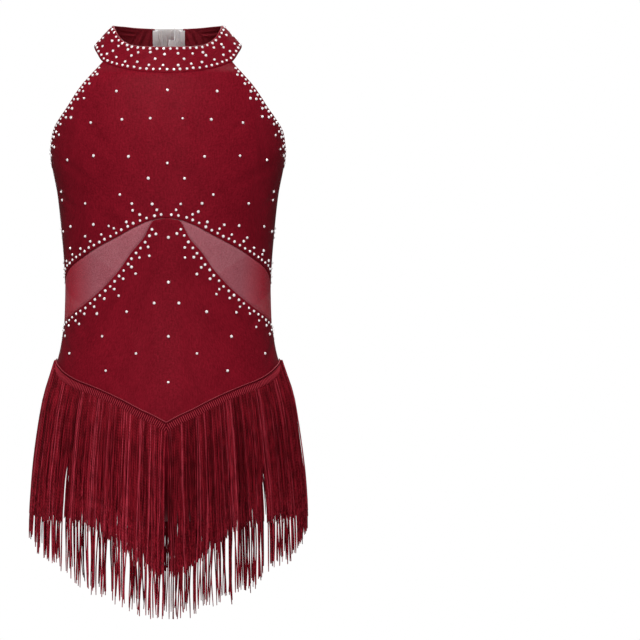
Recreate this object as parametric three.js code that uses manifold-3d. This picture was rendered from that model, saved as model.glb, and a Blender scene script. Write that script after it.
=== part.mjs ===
/**
 * Halter-neck latin dance leotard with a fringe skirt, filled out as if worn, with nobody in it.
 *
 * Units are millimetres, +Z is up and the front faces -Y, so the wearer's left is +X. The origin
 * is the middle of the neck, where the collar holds the garment up. Every cloth panel is a thin
 * wall on one body form: a point of the form is named by its angle from the centre line of the
 * front or the back, and by its height. Below the hip the height runs on round the seat as a
 * distance along the cloth, so the panels reach the crotch seam.
 */
import * as THREE from 'three';
import Module from 'manifold-3d';

// Driving dimensions.
const SATIN_WALL = 1.4;
const NET_WALL = 1.0;
const COLLAR_WALL = 2.2;
const BINDING_WALL = 1.8;
const SEAM_GAP = 0.3;
const SIDE_DEPTH = 75;

const COLLAR_END_X = 14.9;
const CLASP = { width: 28, height: 29.5, thickness: 3, lipHeight: 2, lipDepth: 4.4 };
const CLASP_RIB = { places: [-11.6, -8.8, -6, 2.4, 8.8, 11.6], halfWidth: 0.5, raise: 0.6, sink: 0.4 };
const CLASP_TONGUE = { reach: 5.8, foot: 1.4 };
const CLASP_SEAT = { inwards: 0.2, down: 1.6 };

const KEYHOLE_BINDING_WIDTH = 7.3;
const KEYHOLE_CUT = { top: 40, fromY: 15, toY: 120, points: 48 };
const ARMHOLE_BINDING_WIDTH = 5.5;

const TAPE = { height: 10.5, thickness: 1.8, lift: 0.3 };
const LOCK = {
  countPerSide: 88, radius: 1.2, tipRadius: 0.7, lift: 1.7, embed: 2.2, sideAngle: 88.6,
};

const FRONT = -1;
const BACK = 1;

/** Body form: half width and the depths before and behind the side seam, by distance down. */
const BODY = [
  { q: 0, z: 0, halfWidth: 87, front: 40, back: 46 },
  { q: -4.2, z: -4.2, halfWidth: 88.2, front: 42, back: 49.2 },
  { q: -17.9, z: -17.9, halfWidth: 91.4, front: 47.2, back: 62 },
  { q: -31.1, z: -31.1, halfWidth: 101.9, front: 63.5, back: 69 },
  { q: -44.1, z: -44.1, halfWidth: 111.3, front: 70, back: 73.5 },
  { q: -65.1, z: -65.1, halfWidth: 119.7, front: 76, back: 77.5 },
  { q: -90.3, z: -90.3, halfWidth: 123.9, front: 81, back: 80 },
  { q: -108.2, z: -108.2, halfWidth: 124.2, front: 83, back: 80 },
  { q: -127.1, z: -127.1, halfWidth: 121.8, front: 84, back: 79.5 },
  { q: -157.5, z: -157.5, halfWidth: 116, front: 83.5, back: 77 },
  { q: -201.6, z: -201.6, halfWidth: 111.3, front: 80, back: 72 },
  { q: -231, z: -231, halfWidth: 109, front: 77.5, back: 69.5 },
  { q: -252, z: -252, halfWidth: 108.2, front: 76.5, back: 69 },
  { q: -286.7, z: -286.7, halfWidth: 109, front: 78, back: 72 },
  { q: -315, z: -315, halfWidth: 112.4, front: 81.5, back: 78 },
  { q: -341.3, z: -341.3, halfWidth: 118.7, front: 85, back: 84 },
  { q: -372.8, z: -372.8, halfWidth: 124.4, front: 88, back: 90 },
  { q: -405.3, z: -405.3, halfWidth: 127, front: 89.5, back: 94 },
  { q: -425, z: -425, halfWidth: 127, front: 88.5, back: 94 },
  { q: -455, z: -454, halfWidth: 127, front: 80, back: 90 },
  { q: -485, z: -479, halfWidth: 127, front: 62, back: 76 },
  { q: -515, z: -494, halfWidth: 127, front: 35, back: 48 },
  { q: -535, z: -499, halfWidth: 127, front: 14, back: 20 },
  { q: -550, z: -500.5, halfWidth: 127, front: 0.2, back: 0.2 },
];

/** Collar edges round the neck, by angle from the front centre. */
const COLLAR_RING = [
  { angle: 0, low: -31.1, top: -3.2 },
  { angle: 20, low: -29.4, top: -2.7 },
  { angle: 38, low: -25.6, top: -1.4 },
  { angle: 50, low: -21.9, top: 2.1 },
  { angle: 60.7, low: -17.9, top: 7.2 },
  { angle: 75, low: -7.2, top: 16 },
  { angle: 90, low: -1.6, top: 21 },
  { angle: 120, low: -2.1, top: 20.8 },
  { angle: 150, low: -3.2, top: 19.4 },
  { angle: 180, low: -3.6, top: 18.6 },
];
const COLLAR_LOW = { halfWidth: 78.2, front: 64, back: 58 };
const COLLAR_TOP = { halfWidth: 57.2, front: 50, back: 44 };

/** Angles where the front and the back leave the collar, on the form and on the collar. */
const FRONT_CORNER = { form: 48.3, collar: 60.7 };
const BACK_CORNER = { form: 45.6, collar: 53.6 };
const COLLAR_BLEND = 32;

/** Seam and edge lines: height by angle from the centre of that side. */
const ARMHOLE_FRONT = [
  { angle: 48.3, q: -17.9 }, { angle: 51.1, q: -31.1 }, { angle: 54.6, q: -44.1 },
  { angle: 61, q: -65.1 }, { angle: 69.5, q: -79.8 }, { angle: 77, q: -91 },
  { angle: 83, q: -108.2 }, { angle: 90, q: -127.1 },
];
const ARMHOLE_BACK = [
  { angle: 38, q: 38 }, { angle: 45.6, q: -4.2 }, { angle: 48.1, q: -17.9 },
  { angle: 51.1, q: -31.1 }, { angle: 54.6, q: -44.1 }, { angle: 61, q: -65.1 },
  { angle: 69.5, q: -79.8 }, { angle: 77, q: -91 }, { angle: 83, q: -108.2 },
  { angle: 90, q: -127.1 },
];
const BODICE_HEM = [
  { angle: 0, q: -183 }, { angle: 6.5, q: -184.3 }, { angle: 14, q: -189.4 },
  { angle: 27, q: -201.6 }, { angle: 42.4, q: -214 }, { angle: 57.6, q: -225.8 },
  { angle: 70, q: -233.5 }, { angle: 80, q: -241 }, { angle: 90, q: -249.9 },
];
const FRONT_LOWER_TOP = [
  { angle: 0, q: -183 }, { angle: 6.5, q: -185.2 }, { angle: 12.5, q: -203.7 },
  { angle: 19.7, q: -219 }, { angle: 27.5, q: -237.7 }, { angle: 41, q: -259.4 },
  { angle: 57.6, q: -276.2 }, { angle: 75, q: -286.7 }, { angle: 90, q: -294 },
];
const BACK_BAND_TOP = [
  { angle: 0, q: -280.4 }, { angle: 7.2, q: -272.8 }, { angle: 15.4, q: -260.6 },
  { angle: 23.8, q: -249.4 }, { angle: 29.2, q: -240.3 }, { angle: 46.4, q: -222.6 },
  { angle: 62.3, q: -208.5 }, { angle: 80, q: -195 }, { angle: 90, q: -187 },
];
const BACK_BAND_HEM = [
  { angle: 0, q: -323.4 }, { angle: 11.3, q: -311.2 }, { angle: 21.6, q: -301.9 },
  { angle: 32.9, q: -290.6 }, { angle: 45.7, q: -281.3 }, { angle: 60.7, q: -270.9 },
  { angle: 78, q: -260 }, { angle: 90, q: -249.9 },
];
const BACK_LOWER_TOP = [
  { angle: 0, q: -361 }, { angle: 4.6, q: -359.1 }, { angle: 10, q: -354.4 },
  { angle: 19.7, q: -343.1 }, { angle: 30.5, q: -331 }, { angle: 43.1, q: -320.7 },
  { angle: 59.8, q: -308.5 }, { angle: 78, q: -300.5 }, { angle: 90, q: -294 },
];
const LEG_FRONT = [
  { angle: 0, q: -550 }, { angle: 14, q: -550 }, { angle: 19, q: -516 }, { angle: 25, q: -492 },
  { angle: 32, q: -474 }, { angle: 40, q: -459 }, { angle: 54.6, q: -438 },
  { angle: 69.5, q: -420 }, { angle: 90, q: -402 },
];
const LEG_BACK = [
  { angle: 0, q: -550 }, { angle: 14, q: -550 }, { angle: 19, q: -528 }, { angle: 25, q: -510 },
  { angle: 32, q: -492 }, { angle: 42, q: -470 }, { angle: 54.6, q: -448 },
  { angle: 69.5, q: -426 }, { angle: 90, q: -402 },
];
const TAPE_FRONT = [
  { angle: 0, q: -394.5 }, { angle: 6.7, q: -386.6 }, { angle: 11.8, q: -381.6 },
  { angle: 19.6, q: -373.1 }, { angle: 29.6, q: -364 }, { angle: 40.3, q: -356.5 },
  { angle: 50.5, q: -350.9 }, { angle: 62, q: -343.9 }, { angle: 73, q: -337 },
  { angle: 90, q: -329.5 },
];
const TAPE_BACK = [
  { angle: 0, q: -406.6 }, { angle: 13.1, q: -395.5 }, { angle: 28, q: -374.9 },
  { angle: 35.4, q: -365.6 }, { angle: 48.3, q: -352.5 }, { angle: 62.3, q: -343.1 },
  { angle: 76, q: -335.5 }, { angle: 90, q: -329.5 },
];

/** Keyhole: inner edge of its binding, half width by height, from the collar to the bottom. */
const KEYHOLE = [
  { x: 16.5, z: 4 }, { x: 18.4, z: -6.5 }, { x: 20.6, z: -17 }, { x: 23.3, z: -28.5 },
  { x: 27.3, z: -43 }, { x: 31.4, z: -57 }, { x: 34.4, z: -75 }, { x: 35.7, z: -94.5 },
  { x: 35.2, z: -108 }, { x: 32.9, z: -121 }, { x: 27.6, z: -133 }, { x: 20.4, z: -140.8 },
  { x: 10.6, z: -145.3 }, { x: 0, z: -146.3 },
];

/** Envelope that the hanging strands follow, and where they end. */
const SKIRT = [
  { z: -329, halfWidth: 118.2, front: 85, back: 83 },
  { z: -340.2, halfWidth: 121.8, front: 87, back: 86.5 },
  { z: -356, halfWidth: 126, front: 90, back: 91 },
  { z: -372.8, halfWidth: 130.2, front: 92, back: 94.5 },
  { z: -405.3, halfWidth: 135.5, front: 94.5, back: 99 },
  { z: -465.2, halfWidth: 142.3, front: 97, back: 103 },
  { z: -508.2, halfWidth: 144.9, front: 98.5, back: 105 },
  { z: -600, halfWidth: 146, front: 100, back: 106.5 },
];
const STRAND_TIPS = [
  { angle: 0, z: -598.5 }, { angle: 9, z: -594.3 }, { angle: 22, z: -579.5 },
  { angle: 36, z: -569 }, { angle: 51.5, z: -544 }, { angle: 63, z: -536.6 },
  { angle: 80, z: -521 }, { angle: 90, z: -516 },
];

/** Column angles of the panel grids, mirrored over the centre line. */
const FRONT_ANGLES = [
  0, 3.2, 6.5, 10, 14, 19, 25, 32, 40, 48.3, 51.1, 54.6, 61, 69.5, 77, 83, 90,
];
const BACK_ANGLES = [
  0, 3.2, 6.5, 10, 14, 19, 25, 32, 38, 42, 45.6, 48.1, 51.1, 54.6, 61, 69.5, 77, 83, 90,
];
const INSERT_START = 6.5;
const ARMHOLE_BINDING_START = 42;

const COLOURS = {
  satin: { color: 0x7a1628, roughness: 0.45, metalness: 0 },
  net: { color: 0x93404f, roughness: 0.7, metalness: 0 },
  trim: { color: 0x6a1222, roughness: 0.55, metalness: 0 },
  fringe: { color: 0x74142a, roughness: 0.6, metalness: 0 },
  clasp: { color: 0xe9e6e2, roughness: 0.3, metalness: 0 },
};

// Form and lines.
const degrees = THREE.MathUtils.degToRad;

/** Smooth monotone interpolation of one column of a table over another column. */
function column(rows, key, value) {
  const table = [...rows].sort((a, b) => a[key] - b[key]);
  const x = table.map((row) => row[key]);
  const y = table.map((row) => row[value]);
  const slope = x.slice(1).map((_, i) => (y[i + 1] - y[i]) / (x[i + 1] - x[i]));
  const tangent = x.map((_, i) => {
    if (i === 0) return slope[0];
    if (i === x.length - 1) return slope[i - 1];
    if (slope[i - 1] * slope[i] <= 0) return 0;
    return (2 * slope[i - 1] * slope[i]) / (slope[i - 1] + slope[i]);
  });
  return (at) => {
    if (at <= x[0]) return y[0];
    if (at >= x[x.length - 1]) return y[y.length - 1];
    const i = Math.max(0, x.findIndex((edge) => edge > at) - 1);
    const h = x[i + 1] - x[i];
    const t = (at - x[i]) / h;
    const rise = y[i + 1] - y[i];
    const a = tangent[i] * h - rise;
    const b = rise - tangent[i + 1] * h;
    return y[i] + t * rise + t * (1 - t) * (a * (1 - t) + b * t);
  };
}

/** A line round one side, the same on both halves of the garment. */
function line(rows) {
  const height = column(rows, 'angle', 'q');
  return (angle) => height(Math.abs(angle));
}

const mirrored = (angles) => [...angles.slice(1).map((a) => -a).reverse(), ...angles];

const body = {
  z: column(BODY, 'q', 'z'),
  halfWidth: column(BODY, 'q', 'halfWidth'),
  [FRONT]: column(BODY, 'q', 'front'),
  [BACK]: column(BODY, 'q', 'back'),
};
const collarLow = column(COLLAR_RING, 'angle', 'low');
const collarTop = column(COLLAR_RING, 'angle', 'top');

/** Point of an ellipse ring whose front and back have their own depths. */
function ringPoint(ring, angle, z) {
  const depth = Math.abs(angle) < 90 ? ring.front : ring.back;
  return new THREE.Vector3(
    ring.halfWidth * Math.sin(degrees(angle)),
    -depth * Math.cos(degrees(angle)),
    z,
  );
}

const collarSeamPoint = (angle) => ringPoint(COLLAR_LOW, angle, collarLow(Math.abs(angle)));

/** Collar angle that belongs to a form angle on one side. */
function collarAngle(side, angle) {
  const corner = side === FRONT ? FRONT_CORNER : BACK_CORNER;
  const turned = (angle * corner.collar) / corner.form;
  return side === FRONT ? turned : 180 - turned;
}

/** Plain form point, before it is led to the collar. */
function bareFormPoint(side, angle, q) {
  return new THREE.Vector3(
    body.halfWidth(q) * Math.sin(degrees(angle)),
    side * body[side](q) * Math.cos(degrees(angle)),
    body.z(q),
  );
}

/** Height of the collar seam at a form angle. */
const collarSeamHeight = (side, angle) => collarLow(Math.abs(collarAngle(side, angle)));

/** Form point, led smoothly to the lower edge of the collar near the neck. */
function formPoint(side, angle, q) {
  const point = bareFormPoint(side, angle, q);
  const corner = side === FRONT ? FRONT_CORNER : BACK_CORNER;
  const limited = Math.min(Math.abs(angle), corner.form) * (angle < 0 ? -1 : 1);
  const seam = collarSeamHeight(side, limited);
  const near = Math.max(0, 1 - Math.max(0, seam - q) / COLLAR_BLEND);
  if (near === 0) return point;
  const target = collarSeamPoint(collarAngle(side, limited));
  const pull = target.sub(bareFormPoint(side, limited, seam));
  return point.addScaledVector(pull, near * near);
}

/** Outward direction of the form at an angle and height. */
function outwards(side, angle, q) {
  const across = formPoint(side, angle + 0.5, q).sub(formPoint(side, angle - 0.5, q));
  const down = formPoint(side, angle, q - 1).sub(formPoint(side, angle, q + 1));
  const normal = down.cross(across).normalize();
  return normal.dot(new THREE.Vector3(Math.sin(degrees(angle)), side, 0)) < 0
    ? normal.negate()
    : normal;
}

/** Arc length for each degree at a place on the form. */
function arcPerDegree(side, angle, q) {
  return bareFormPoint(side, angle + 0.5, q).distanceTo(bareFormPoint(side, angle - 0.5, q));
}

/** How far a line moves down when it is moved square to itself by a distance. */
function slantedDrop(side, height, angle, distance) {
  const step = 1;
  const low = Math.max(0, Math.abs(angle) - step);
  const high = Math.min(90, Math.abs(angle) + step);
  const rise = (height(high) - height(low)) / (high - low);
  const slope = rise / arcPerDegree(side, angle, height(angle));
  return distance * Math.hypot(1, slope);
}

// Walls.
/** Outward normals of a grid that goes round the body, worked out from its own points. */
function gridNormals(grid) {
  const clamp = (value, count) => Math.min(count - 1, Math.max(0, value));
  return grid.map((row, j) => row.map((point, i) => {
    const across = row[clamp(i + 1, row.length)].clone().sub(row[clamp(i - 1, row.length)]);
    const below = grid[clamp(j + 1, grid.length)][i];
    const above = grid[clamp(j - 1, grid.length)][i];
    const normal = below.clone().sub(above).cross(across).normalize();
    return normal.x * point.x + normal.y * point.y < 0 ? normal.negate() : normal;
  }));
}

/** Closed wall from a grid of points: skins this far outside and inside it, and four rims. */
function wallFromGrid(grid, normals, outer, inner) {
  const rows = grid.length;
  const columns = grid[0].length;
  const positions = [outer, -inner].flatMap((lift) => grid.flatMap((row, j) => (
    row.flatMap((point, i) => point.clone().addScaledVector(normals[j][i], lift).toArray())
  )));
  const at = (layer, i, j) => layer * rows * columns + j * columns + i;
  const faces = [];
  const quad = (a, b, c, d) => faces.push(a, b, c, a, c, d);
  for (let j = 0; j < rows - 1; j += 1) {
    for (let i = 0; i < columns - 1; i += 1) {
      quad(at(0, i, j), at(0, i, j + 1), at(0, i + 1, j + 1), at(0, i + 1, j));
      quad(at(1, i, j), at(1, i + 1, j), at(1, i + 1, j + 1), at(1, i, j + 1));
    }
  }
  for (let i = 0; i < columns - 1; i += 1) {
    quad(at(0, i, 0), at(0, i + 1, 0), at(1, i + 1, 0), at(1, i, 0));
    quad(at(0, i + 1, rows - 1), at(0, i, rows - 1), at(1, i, rows - 1), at(1, i + 1, rows - 1));
  }
  for (let j = 0; j < rows - 1; j += 1) {
    quad(at(0, 0, j + 1), at(0, 0, j), at(1, 0, j), at(1, 0, j + 1));
    const last = columns - 1;
    quad(at(0, last, j), at(0, last, j + 1), at(1, last, j + 1), at(1, last, j));
  }
  const geometry = new THREE.BufferGeometry();
  geometry.setAttribute('position', new THREE.Float32BufferAttribute(positions, 3));
  geometry.setIndex(faces);
  return geometry;
}

/** Turns a wall inside out when its faces point inwards. */
function facedOutwards(geometry) {
  const points = geometry.getAttribute('position');
  const index = geometry.getIndex().array;
  const corners = [0, 1, 2].map(() => new THREE.Vector3());
  let volume = 0;
  for (let f = 0; f < index.length; f += 3) {
    corners.forEach((corner, k) => corner.fromBufferAttribute(points, index[f + k]));
    volume += corners[0].dot(corners[1].clone().cross(corners[2]));
  }
  if (volume < 0) {
    for (let f = 0; f < index.length; f += 3) {
      [index[f + 1], index[f + 2]] = [index[f + 2], index[f + 1]];
    }
  }
  return geometry;
}

/** One cut panel between two lines on the form. */
function panel({ side, angles, top, bottom, rows, wall, lift = 0, spread = 1 }) {
  const seamTurn = THREE.MathUtils.radToDeg(SEAM_GAP / 2 / SIDE_DEPTH);
  const edge = 90 - seamTurn;
  const grid = [];
  const normals = [];
  for (let j = 0; j <= rows; j += 1) {
    const share = (j / rows) ** spread;
    const places = angles.map((angle) => {
      const upper = top(angle) - slantedDrop(side, top, angle, SEAM_GAP / 2);
      const lower = bottom(angle) + slantedDrop(side, bottom, angle, SEAM_GAP / 2);
      return [THREE.MathUtils.clamp(angle, -edge, edge), upper + (lower - upper) * share];
    });
    grid.push(places.map(([angle, q]) => formPoint(side, angle, q)));
    normals.push(places.map(([angle, q]) => outwards(side, angle, q)));
  }
  return facedOutwards(wallFromGrid(grid, normals, lift, wall - lift));
}

// Joins and cuts.
const wasm = await Module();
wasm.setup();

/** Solid of a closed geometry whose vertices are already shared. */
function solidOf(geometry) {
  const points = geometry.getAttribute('position').array;
  return new wasm.Manifold(new wasm.Mesh({
    numProp: 3,
    vertProperties: new Float32Array(points),
    triVerts: new Uint32Array(geometry.getIndex().array),
  }));
}

/** Geometry of a solid. */
function geometryOf(solid) {
  const mesh = solid.getMesh();
  const geometry = new THREE.BufferGeometry();
  geometry.setAttribute('position', new THREE.BufferAttribute(mesh.vertProperties, 3));
  geometry.setIndex(new THREE.BufferAttribute(mesh.triVerts, 1));
  return geometry;
}

/** Prism of a flat outline given as [x, z] pairs, from one depth in Y to another. */
function prism(pairs, fromY, toY) {
  const flat = pairs.map(([x, z]) => new THREE.Vector2(x, z));
  const outline = THREE.ShapeUtils.isClockWise(flat) ? [...pairs].reverse() : pairs;
  const faces = THREE.ShapeUtils.triangulateShape(
    outline.map(([x, z]) => new THREE.Vector2(x, z)),
    [],
  );
  const count = outline.length;
  const positions = [fromY, toY].flatMap((y) => outline.flatMap(([x, z]) => [x, y, z]));
  const index = [];
  for (const [a, b, c] of faces) {
    index.push(a, b, c, count + a, count + c, count + b);
  }
  for (let i = 0; i < count; i += 1) {
    const next = (i + 1) % count;
    index.push(i, count + i, count + next, i, count + next, next);
  }
  const geometry = new THREE.BufferGeometry();
  geometry.setAttribute('position', new THREE.Float32BufferAttribute(positions, 3));
  geometry.setIndex(index);
  return facedOutwards(geometry);
}

// Panels, collar and clasp.
const model = new THREE.Group();

function addPiece(name, geometry, finish, parent = model) {
  geometry.computeVertexNormals();
  const mesh = new THREE.Mesh(geometry, new THREE.MeshStandardMaterial(finish));
  mesh.name = name;
  parent.add(mesh);
  return mesh;
}

const bodiceHem = line(BODICE_HEM);
const frontLowerTop = line(FRONT_LOWER_TOP);
const armholeFront = line(ARMHOLE_FRONT);
const armholeBack = line(ARMHOLE_BACK);
const bandTop = line(BACK_BAND_TOP);
const bandHem = line(BACK_BAND_HEM);
const backLowerTop = line(BACK_LOWER_TOP);

/** Upper edge of the front: the collar seam, then the armhole. */
function frontTop(angle) {
  if (Math.abs(angle) <= FRONT_CORNER.form) return collarSeamHeight(FRONT, angle);
  return armholeFront(angle);
}

/** Upper edge of the back with its armhole binding on. */
function backTop(angle) {
  if (Math.abs(angle) <= BACK_CORNER.form) return collarSeamHeight(BACK, angle);
  return armholeBack(angle);
}

/** Line where the armhole binding ends and the back net begins. */
function bindingFoot(angle) {
  return armholeBack(angle) - slantedDrop(BACK, armholeBack, angle, ARMHOLE_BINDING_WIDTH);
}

const backNetTop = (angle) => Math.min(backTop(angle), bindingFoot(angle));

function buildFront() {
  const angles = mirrored(FRONT_ANGLES);
  addPiece('front_bodice', panel({
    side: FRONT, angles, top: frontTop, bottom: bodiceHem, rows: 7, wall: SATIN_WALL,
  }), COLOURS.satin);
  const insertAngles = FRONT_ANGLES.filter((angle) => angle >= INSERT_START);
  for (const [name, angleList] of [
    ['front_net_left', insertAngles],
    ['front_net_right', insertAngles.map((angle) => -angle).reverse()],
  ]) {
    addPiece(name, panel({
      side: FRONT, angles: angleList, top: bodiceHem, bottom: frontLowerTop, rows: 2, wall: NET_WALL,
    }), COLOURS.net);
  }
  addPiece('front_lower', panel({
    side: FRONT, angles, top: frontLowerTop, bottom: line(LEG_FRONT), rows: 11,
    wall: SATIN_WALL, spread: 0.85,
  }), COLOURS.satin);
}

/** Keyhole outline as [x, z] pairs, widened square to itself. */
function keyholeOutline(widen) {
  const half = KEYHOLE.map(({ x, z }) => new THREE.Vector2(x, z));
  const whole = [...half, ...half.slice(0, -1).reverse().map(({ x, y }) => new THREE.Vector2(-x, y))];
  return new THREE.SplineCurve(whole).getPoints(KEYHOLE_CUT.points).map((point, i, points) => {
    const before = points[Math.max(0, i - 1)];
    const after = points[Math.min(points.length - 1, i + 1)];
    const along = after.clone().sub(before).normalize();
    return [point.x + widen * -along.y, point.y + widen * along.x];
  });
}

/** Solid of the keyhole, widened, that reaches through the back and past the collar seam. */
function keyholeCutter(widen) {
  const outline = keyholeOutline(widen);
  const last = outline.length - 1;
  const { top, fromY, toY } = KEYHOLE_CUT;
  return solidOf(prism([[outline[0][0], top], ...outline, [outline[last][0], top]], fromY, toY));
}

function buildBack() {
  const angles = mirrored(BACK_ANGLES);
  const back = { side: BACK, angles, top: backNetTop, bottom: bandTop, rows: 7 };
  const net = solidOf(panel({ ...back, wall: NET_WALL }));
  addPiece('back_net', geometryOf(net.subtract(
    keyholeCutter(KEYHOLE_BINDING_WIDTH + SEAM_GAP / 2),
  )), COLOURS.net);
  const raised = solidOf(panel({
    ...back, wall: BINDING_WALL, lift: BINDING_WALL - NET_WALL,
  }));
  addPiece('keyhole_binding', geometryOf(raised.intersect(
    keyholeCutter(KEYHOLE_BINDING_WIDTH - SEAM_GAP / 2).subtract(keyholeCutter(0)),
  )), COLOURS.trim);

  const bindingAngles = BACK_ANGLES.filter((angle) => angle >= ARMHOLE_BINDING_START);
  for (const [name, angleList] of [
    ['armhole_binding_left', bindingAngles],
    ['armhole_binding_right', bindingAngles.map((angle) => -angle).reverse()],
  ]) {
    addPiece(name, panel({
      side: BACK, angles: angleList, top: backTop, bottom: backNetTop, rows: 1,
      wall: BINDING_WALL,
    }), COLOURS.trim);
  }
  addPiece('back_band', panel({
    side: BACK, angles, top: bandTop, bottom: bandHem, rows: 2, wall: SATIN_WALL,
  }), COLOURS.satin);
  addPiece('back_waist_net', panel({
    side: BACK, angles, top: bandHem, bottom: backLowerTop, rows: 2, wall: NET_WALL,
  }), COLOURS.net);
  addPiece('back_lower', panel({
    side: BACK, angles, top: backLowerTop, bottom: line(LEG_BACK), rows: 9,
    wall: SATIN_WALL, spread: 0.85,
  }), COLOURS.satin);
}

/** Collar band: an open ring whose ends face the clasp. */
function buildCollar() {
  const steps = 18;
  const rows = 2;
  const grid = [];
  for (let j = 0; j <= rows; j += 1) {
    const up = 1 - j / rows;
    const ring = {
      halfWidth: THREE.MathUtils.lerp(COLLAR_LOW.halfWidth, COLLAR_TOP.halfWidth, up),
      front: THREE.MathUtils.lerp(COLLAR_LOW.front, COLLAR_TOP.front, up),
      back: THREE.MathUtils.lerp(COLLAR_LOW.back, COLLAR_TOP.back, up),
    };
    const end = 180 - THREE.MathUtils.radToDeg(Math.asin(COLLAR_END_X / ring.halfWidth));
    const row = [];
    for (let i = -steps; i <= steps; i += 1) {
      const angle = (end * i) / steps;
      const low = collarLow(Math.abs(angle)) + SEAM_GAP / 2;
      const z = THREE.MathUtils.lerp(low, collarTop(Math.abs(angle)), up);
      row.push(ringPoint(ring, angle, z));
    }
    grid.push(row);
  }
  addPiece('collar', facedOutwards(
    wallFromGrid(grid, gridNormals(grid), 0, COLLAR_WALL),
  ), COLOURS.satin);
}

/** Clasp half: a ribbed plate with a stepped tongue line and a lip along its foot. */
function claspHalf(isLeft) {
  const { width, height, thickness, lipHeight, lipDepth } = CLASP;
  const { reach, foot } = CLASP_TONGUE;
  const rib = CLASP_RIB;
  const half = width / 2;
  const top = height / 2;
  const gap = SEAM_GAP / 2;
  const outline = isLeft
    ? [[gap, -top], [half, -top], [half, top], [reach + gap, top], [reach + gap, foot - gap],
      [gap, foot - gap]]
    : [[-half, -top], [-gap, -top], [-gap, foot + gap], [reach - gap, foot + gap],
      [reach - gap, top], [-half, top]];
  const plate = solidOf(prism(outline, 0, thickness));
  const ribs = rib.places.filter((x) => (
    isLeft ? x > reach + 2 * rib.halfWidth : x < reach - 2 * rib.halfWidth
  )).map((x) => solidOf(prism(
    [[x - rib.halfWidth, 1 - top], [x + rib.halfWidth, 1 - top], [x + rib.halfWidth, top - 1],
      [x - rib.halfWidth, top - 1]],
    thickness - rib.sink,
    thickness + rib.raise,
  )).intersect(solidOf(prism(outline, 0, thickness + rib.raise))));
  const lipSide = isLeft ? [gap, half + 0.4] : [-half - 0.4, -gap];
  const lip = solidOf(prism(
    [[lipSide[0], -top - 0.4], [lipSide[1], -top - 0.4], [lipSide[1], -top + lipHeight],
      [lipSide[0], -top + lipHeight]],
    -0.6,
    lipDepth - 0.6,
  ));
  return geometryOf(wasm.Manifold.union([plate, lip, ...ribs]));
}

function buildClasp() {
  const clasp = new THREE.Group();
  const low = collarSeamPoint(180);
  const top = ringPoint(COLLAR_TOP, 180, collarTop(180));
  clasp.position.set(
    0,
    (low.y + top.y) / 2 - COLLAR_WALL - CLASP_SEAT.inwards,
    (low.z + top.z) / 2 - CLASP_SEAT.down,
  );
  clasp.rotation.x = Math.atan2(low.y - top.y, top.z - low.z);
  model.add(clasp);
  addPiece('clasp_left', claspHalf(true), COLOURS.clasp, clasp);
  addPiece('clasp_right', claspHalf(false), COLOURS.clasp, clasp);
}

// Fringe.
const skirt = {
  halfWidth: column(SKIRT, 'z', 'halfWidth'),
  [FRONT]: column(SKIRT, 'z', 'front'),
  [BACK]: column(SKIRT, 'z', 'back'),
};
const strandTip = column(STRAND_TIPS, 'angle', 'z');

/** Centre of a hanging strand at a height, from its root outwards along the envelope. */
function strandPoint(side, angle, root, z) {
  const spread = (at) => new THREE.Vector3(
    skirt.halfWidth(at) * Math.sin(degrees(angle)),
    side * skirt[side](at) * Math.cos(degrees(angle)),
    at,
  );
  return root.clone().add(spread(z)).sub(spread(root.z));
}

/** Three-sided lock from its root in the tape to its tip. */
function lock(side, angle, rootHeight) {
  const direction = outwards(side, angle, rootHeight);
  const root = formPoint(side, angle, rootHeight).addScaledVector(direction, LOCK.lift);
  const tip = strandTip(Math.abs(angle));
  const centres = [root.clone().setZ(root.z + LOCK.embed)];
  for (const share of [0.24, 1]) {
    centres.push(strandPoint(side, angle, root, THREE.MathUtils.lerp(root.z, tip, share)));
  }
  const facing = Math.atan2(direction.y, direction.x);
  const positions = [];
  centres.forEach((centre, i) => {
    const radius = i === centres.length - 1 ? LOCK.tipRadius : LOCK.radius;
    for (let k = 0; k < 3; k += 1) {
      const turn = facing + (k * 2 * Math.PI) / 3;
      positions.push(centre.x + radius * Math.cos(turn), centre.y + radius * Math.sin(turn), centre.z);
    }
  });
  const index = [0, 1, 2];
  for (let ring = 0; ring < centres.length - 1; ring += 1) {
    for (let k = 0; k < 3; k += 1) {
      const a = ring * 3 + k;
      const b = ring * 3 + ((k + 1) % 3);
      index.push(a, a + 3, b + 3, a, b + 3, b);
    }
  }
  const end = (centres.length - 1) * 3;
  index.push(end, end + 2, end + 1);
  const geometry = new THREE.BufferGeometry();
  geometry.setAttribute('position', new THREE.Float32BufferAttribute(positions, 3));
  geometry.setIndex(index);
  return solidOf(facedOutwards(geometry));
}

/** Angles that share a line out into equal lengths. */
function evenAngles(side, height, count) {
  const fine = 360;
  const limit = LOCK.sideAngle;
  const travelled = [0];
  for (let i = 1; i <= fine; i += 1) {
    const from = -limit + (2 * limit * (i - 1)) / fine;
    const to = -limit + (2 * limit * i) / fine;
    const step = formPoint(side, to, height(to)).distanceTo(formPoint(side, from, height(from)));
    travelled.push(travelled[i - 1] + step);
  }
  return Array.from({ length: count }, (_, n) => {
    const goal = (travelled[fine] * n) / (count - 1);
    const i = Math.max(1, travelled.findIndex((length) => length >= goal - 1e-9));
    const part = (goal - travelled[i - 1]) / (travelled[i] - travelled[i - 1]);
    return -limit + (2 * limit * (i - 1 + part)) / fine;
  });
}

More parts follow.
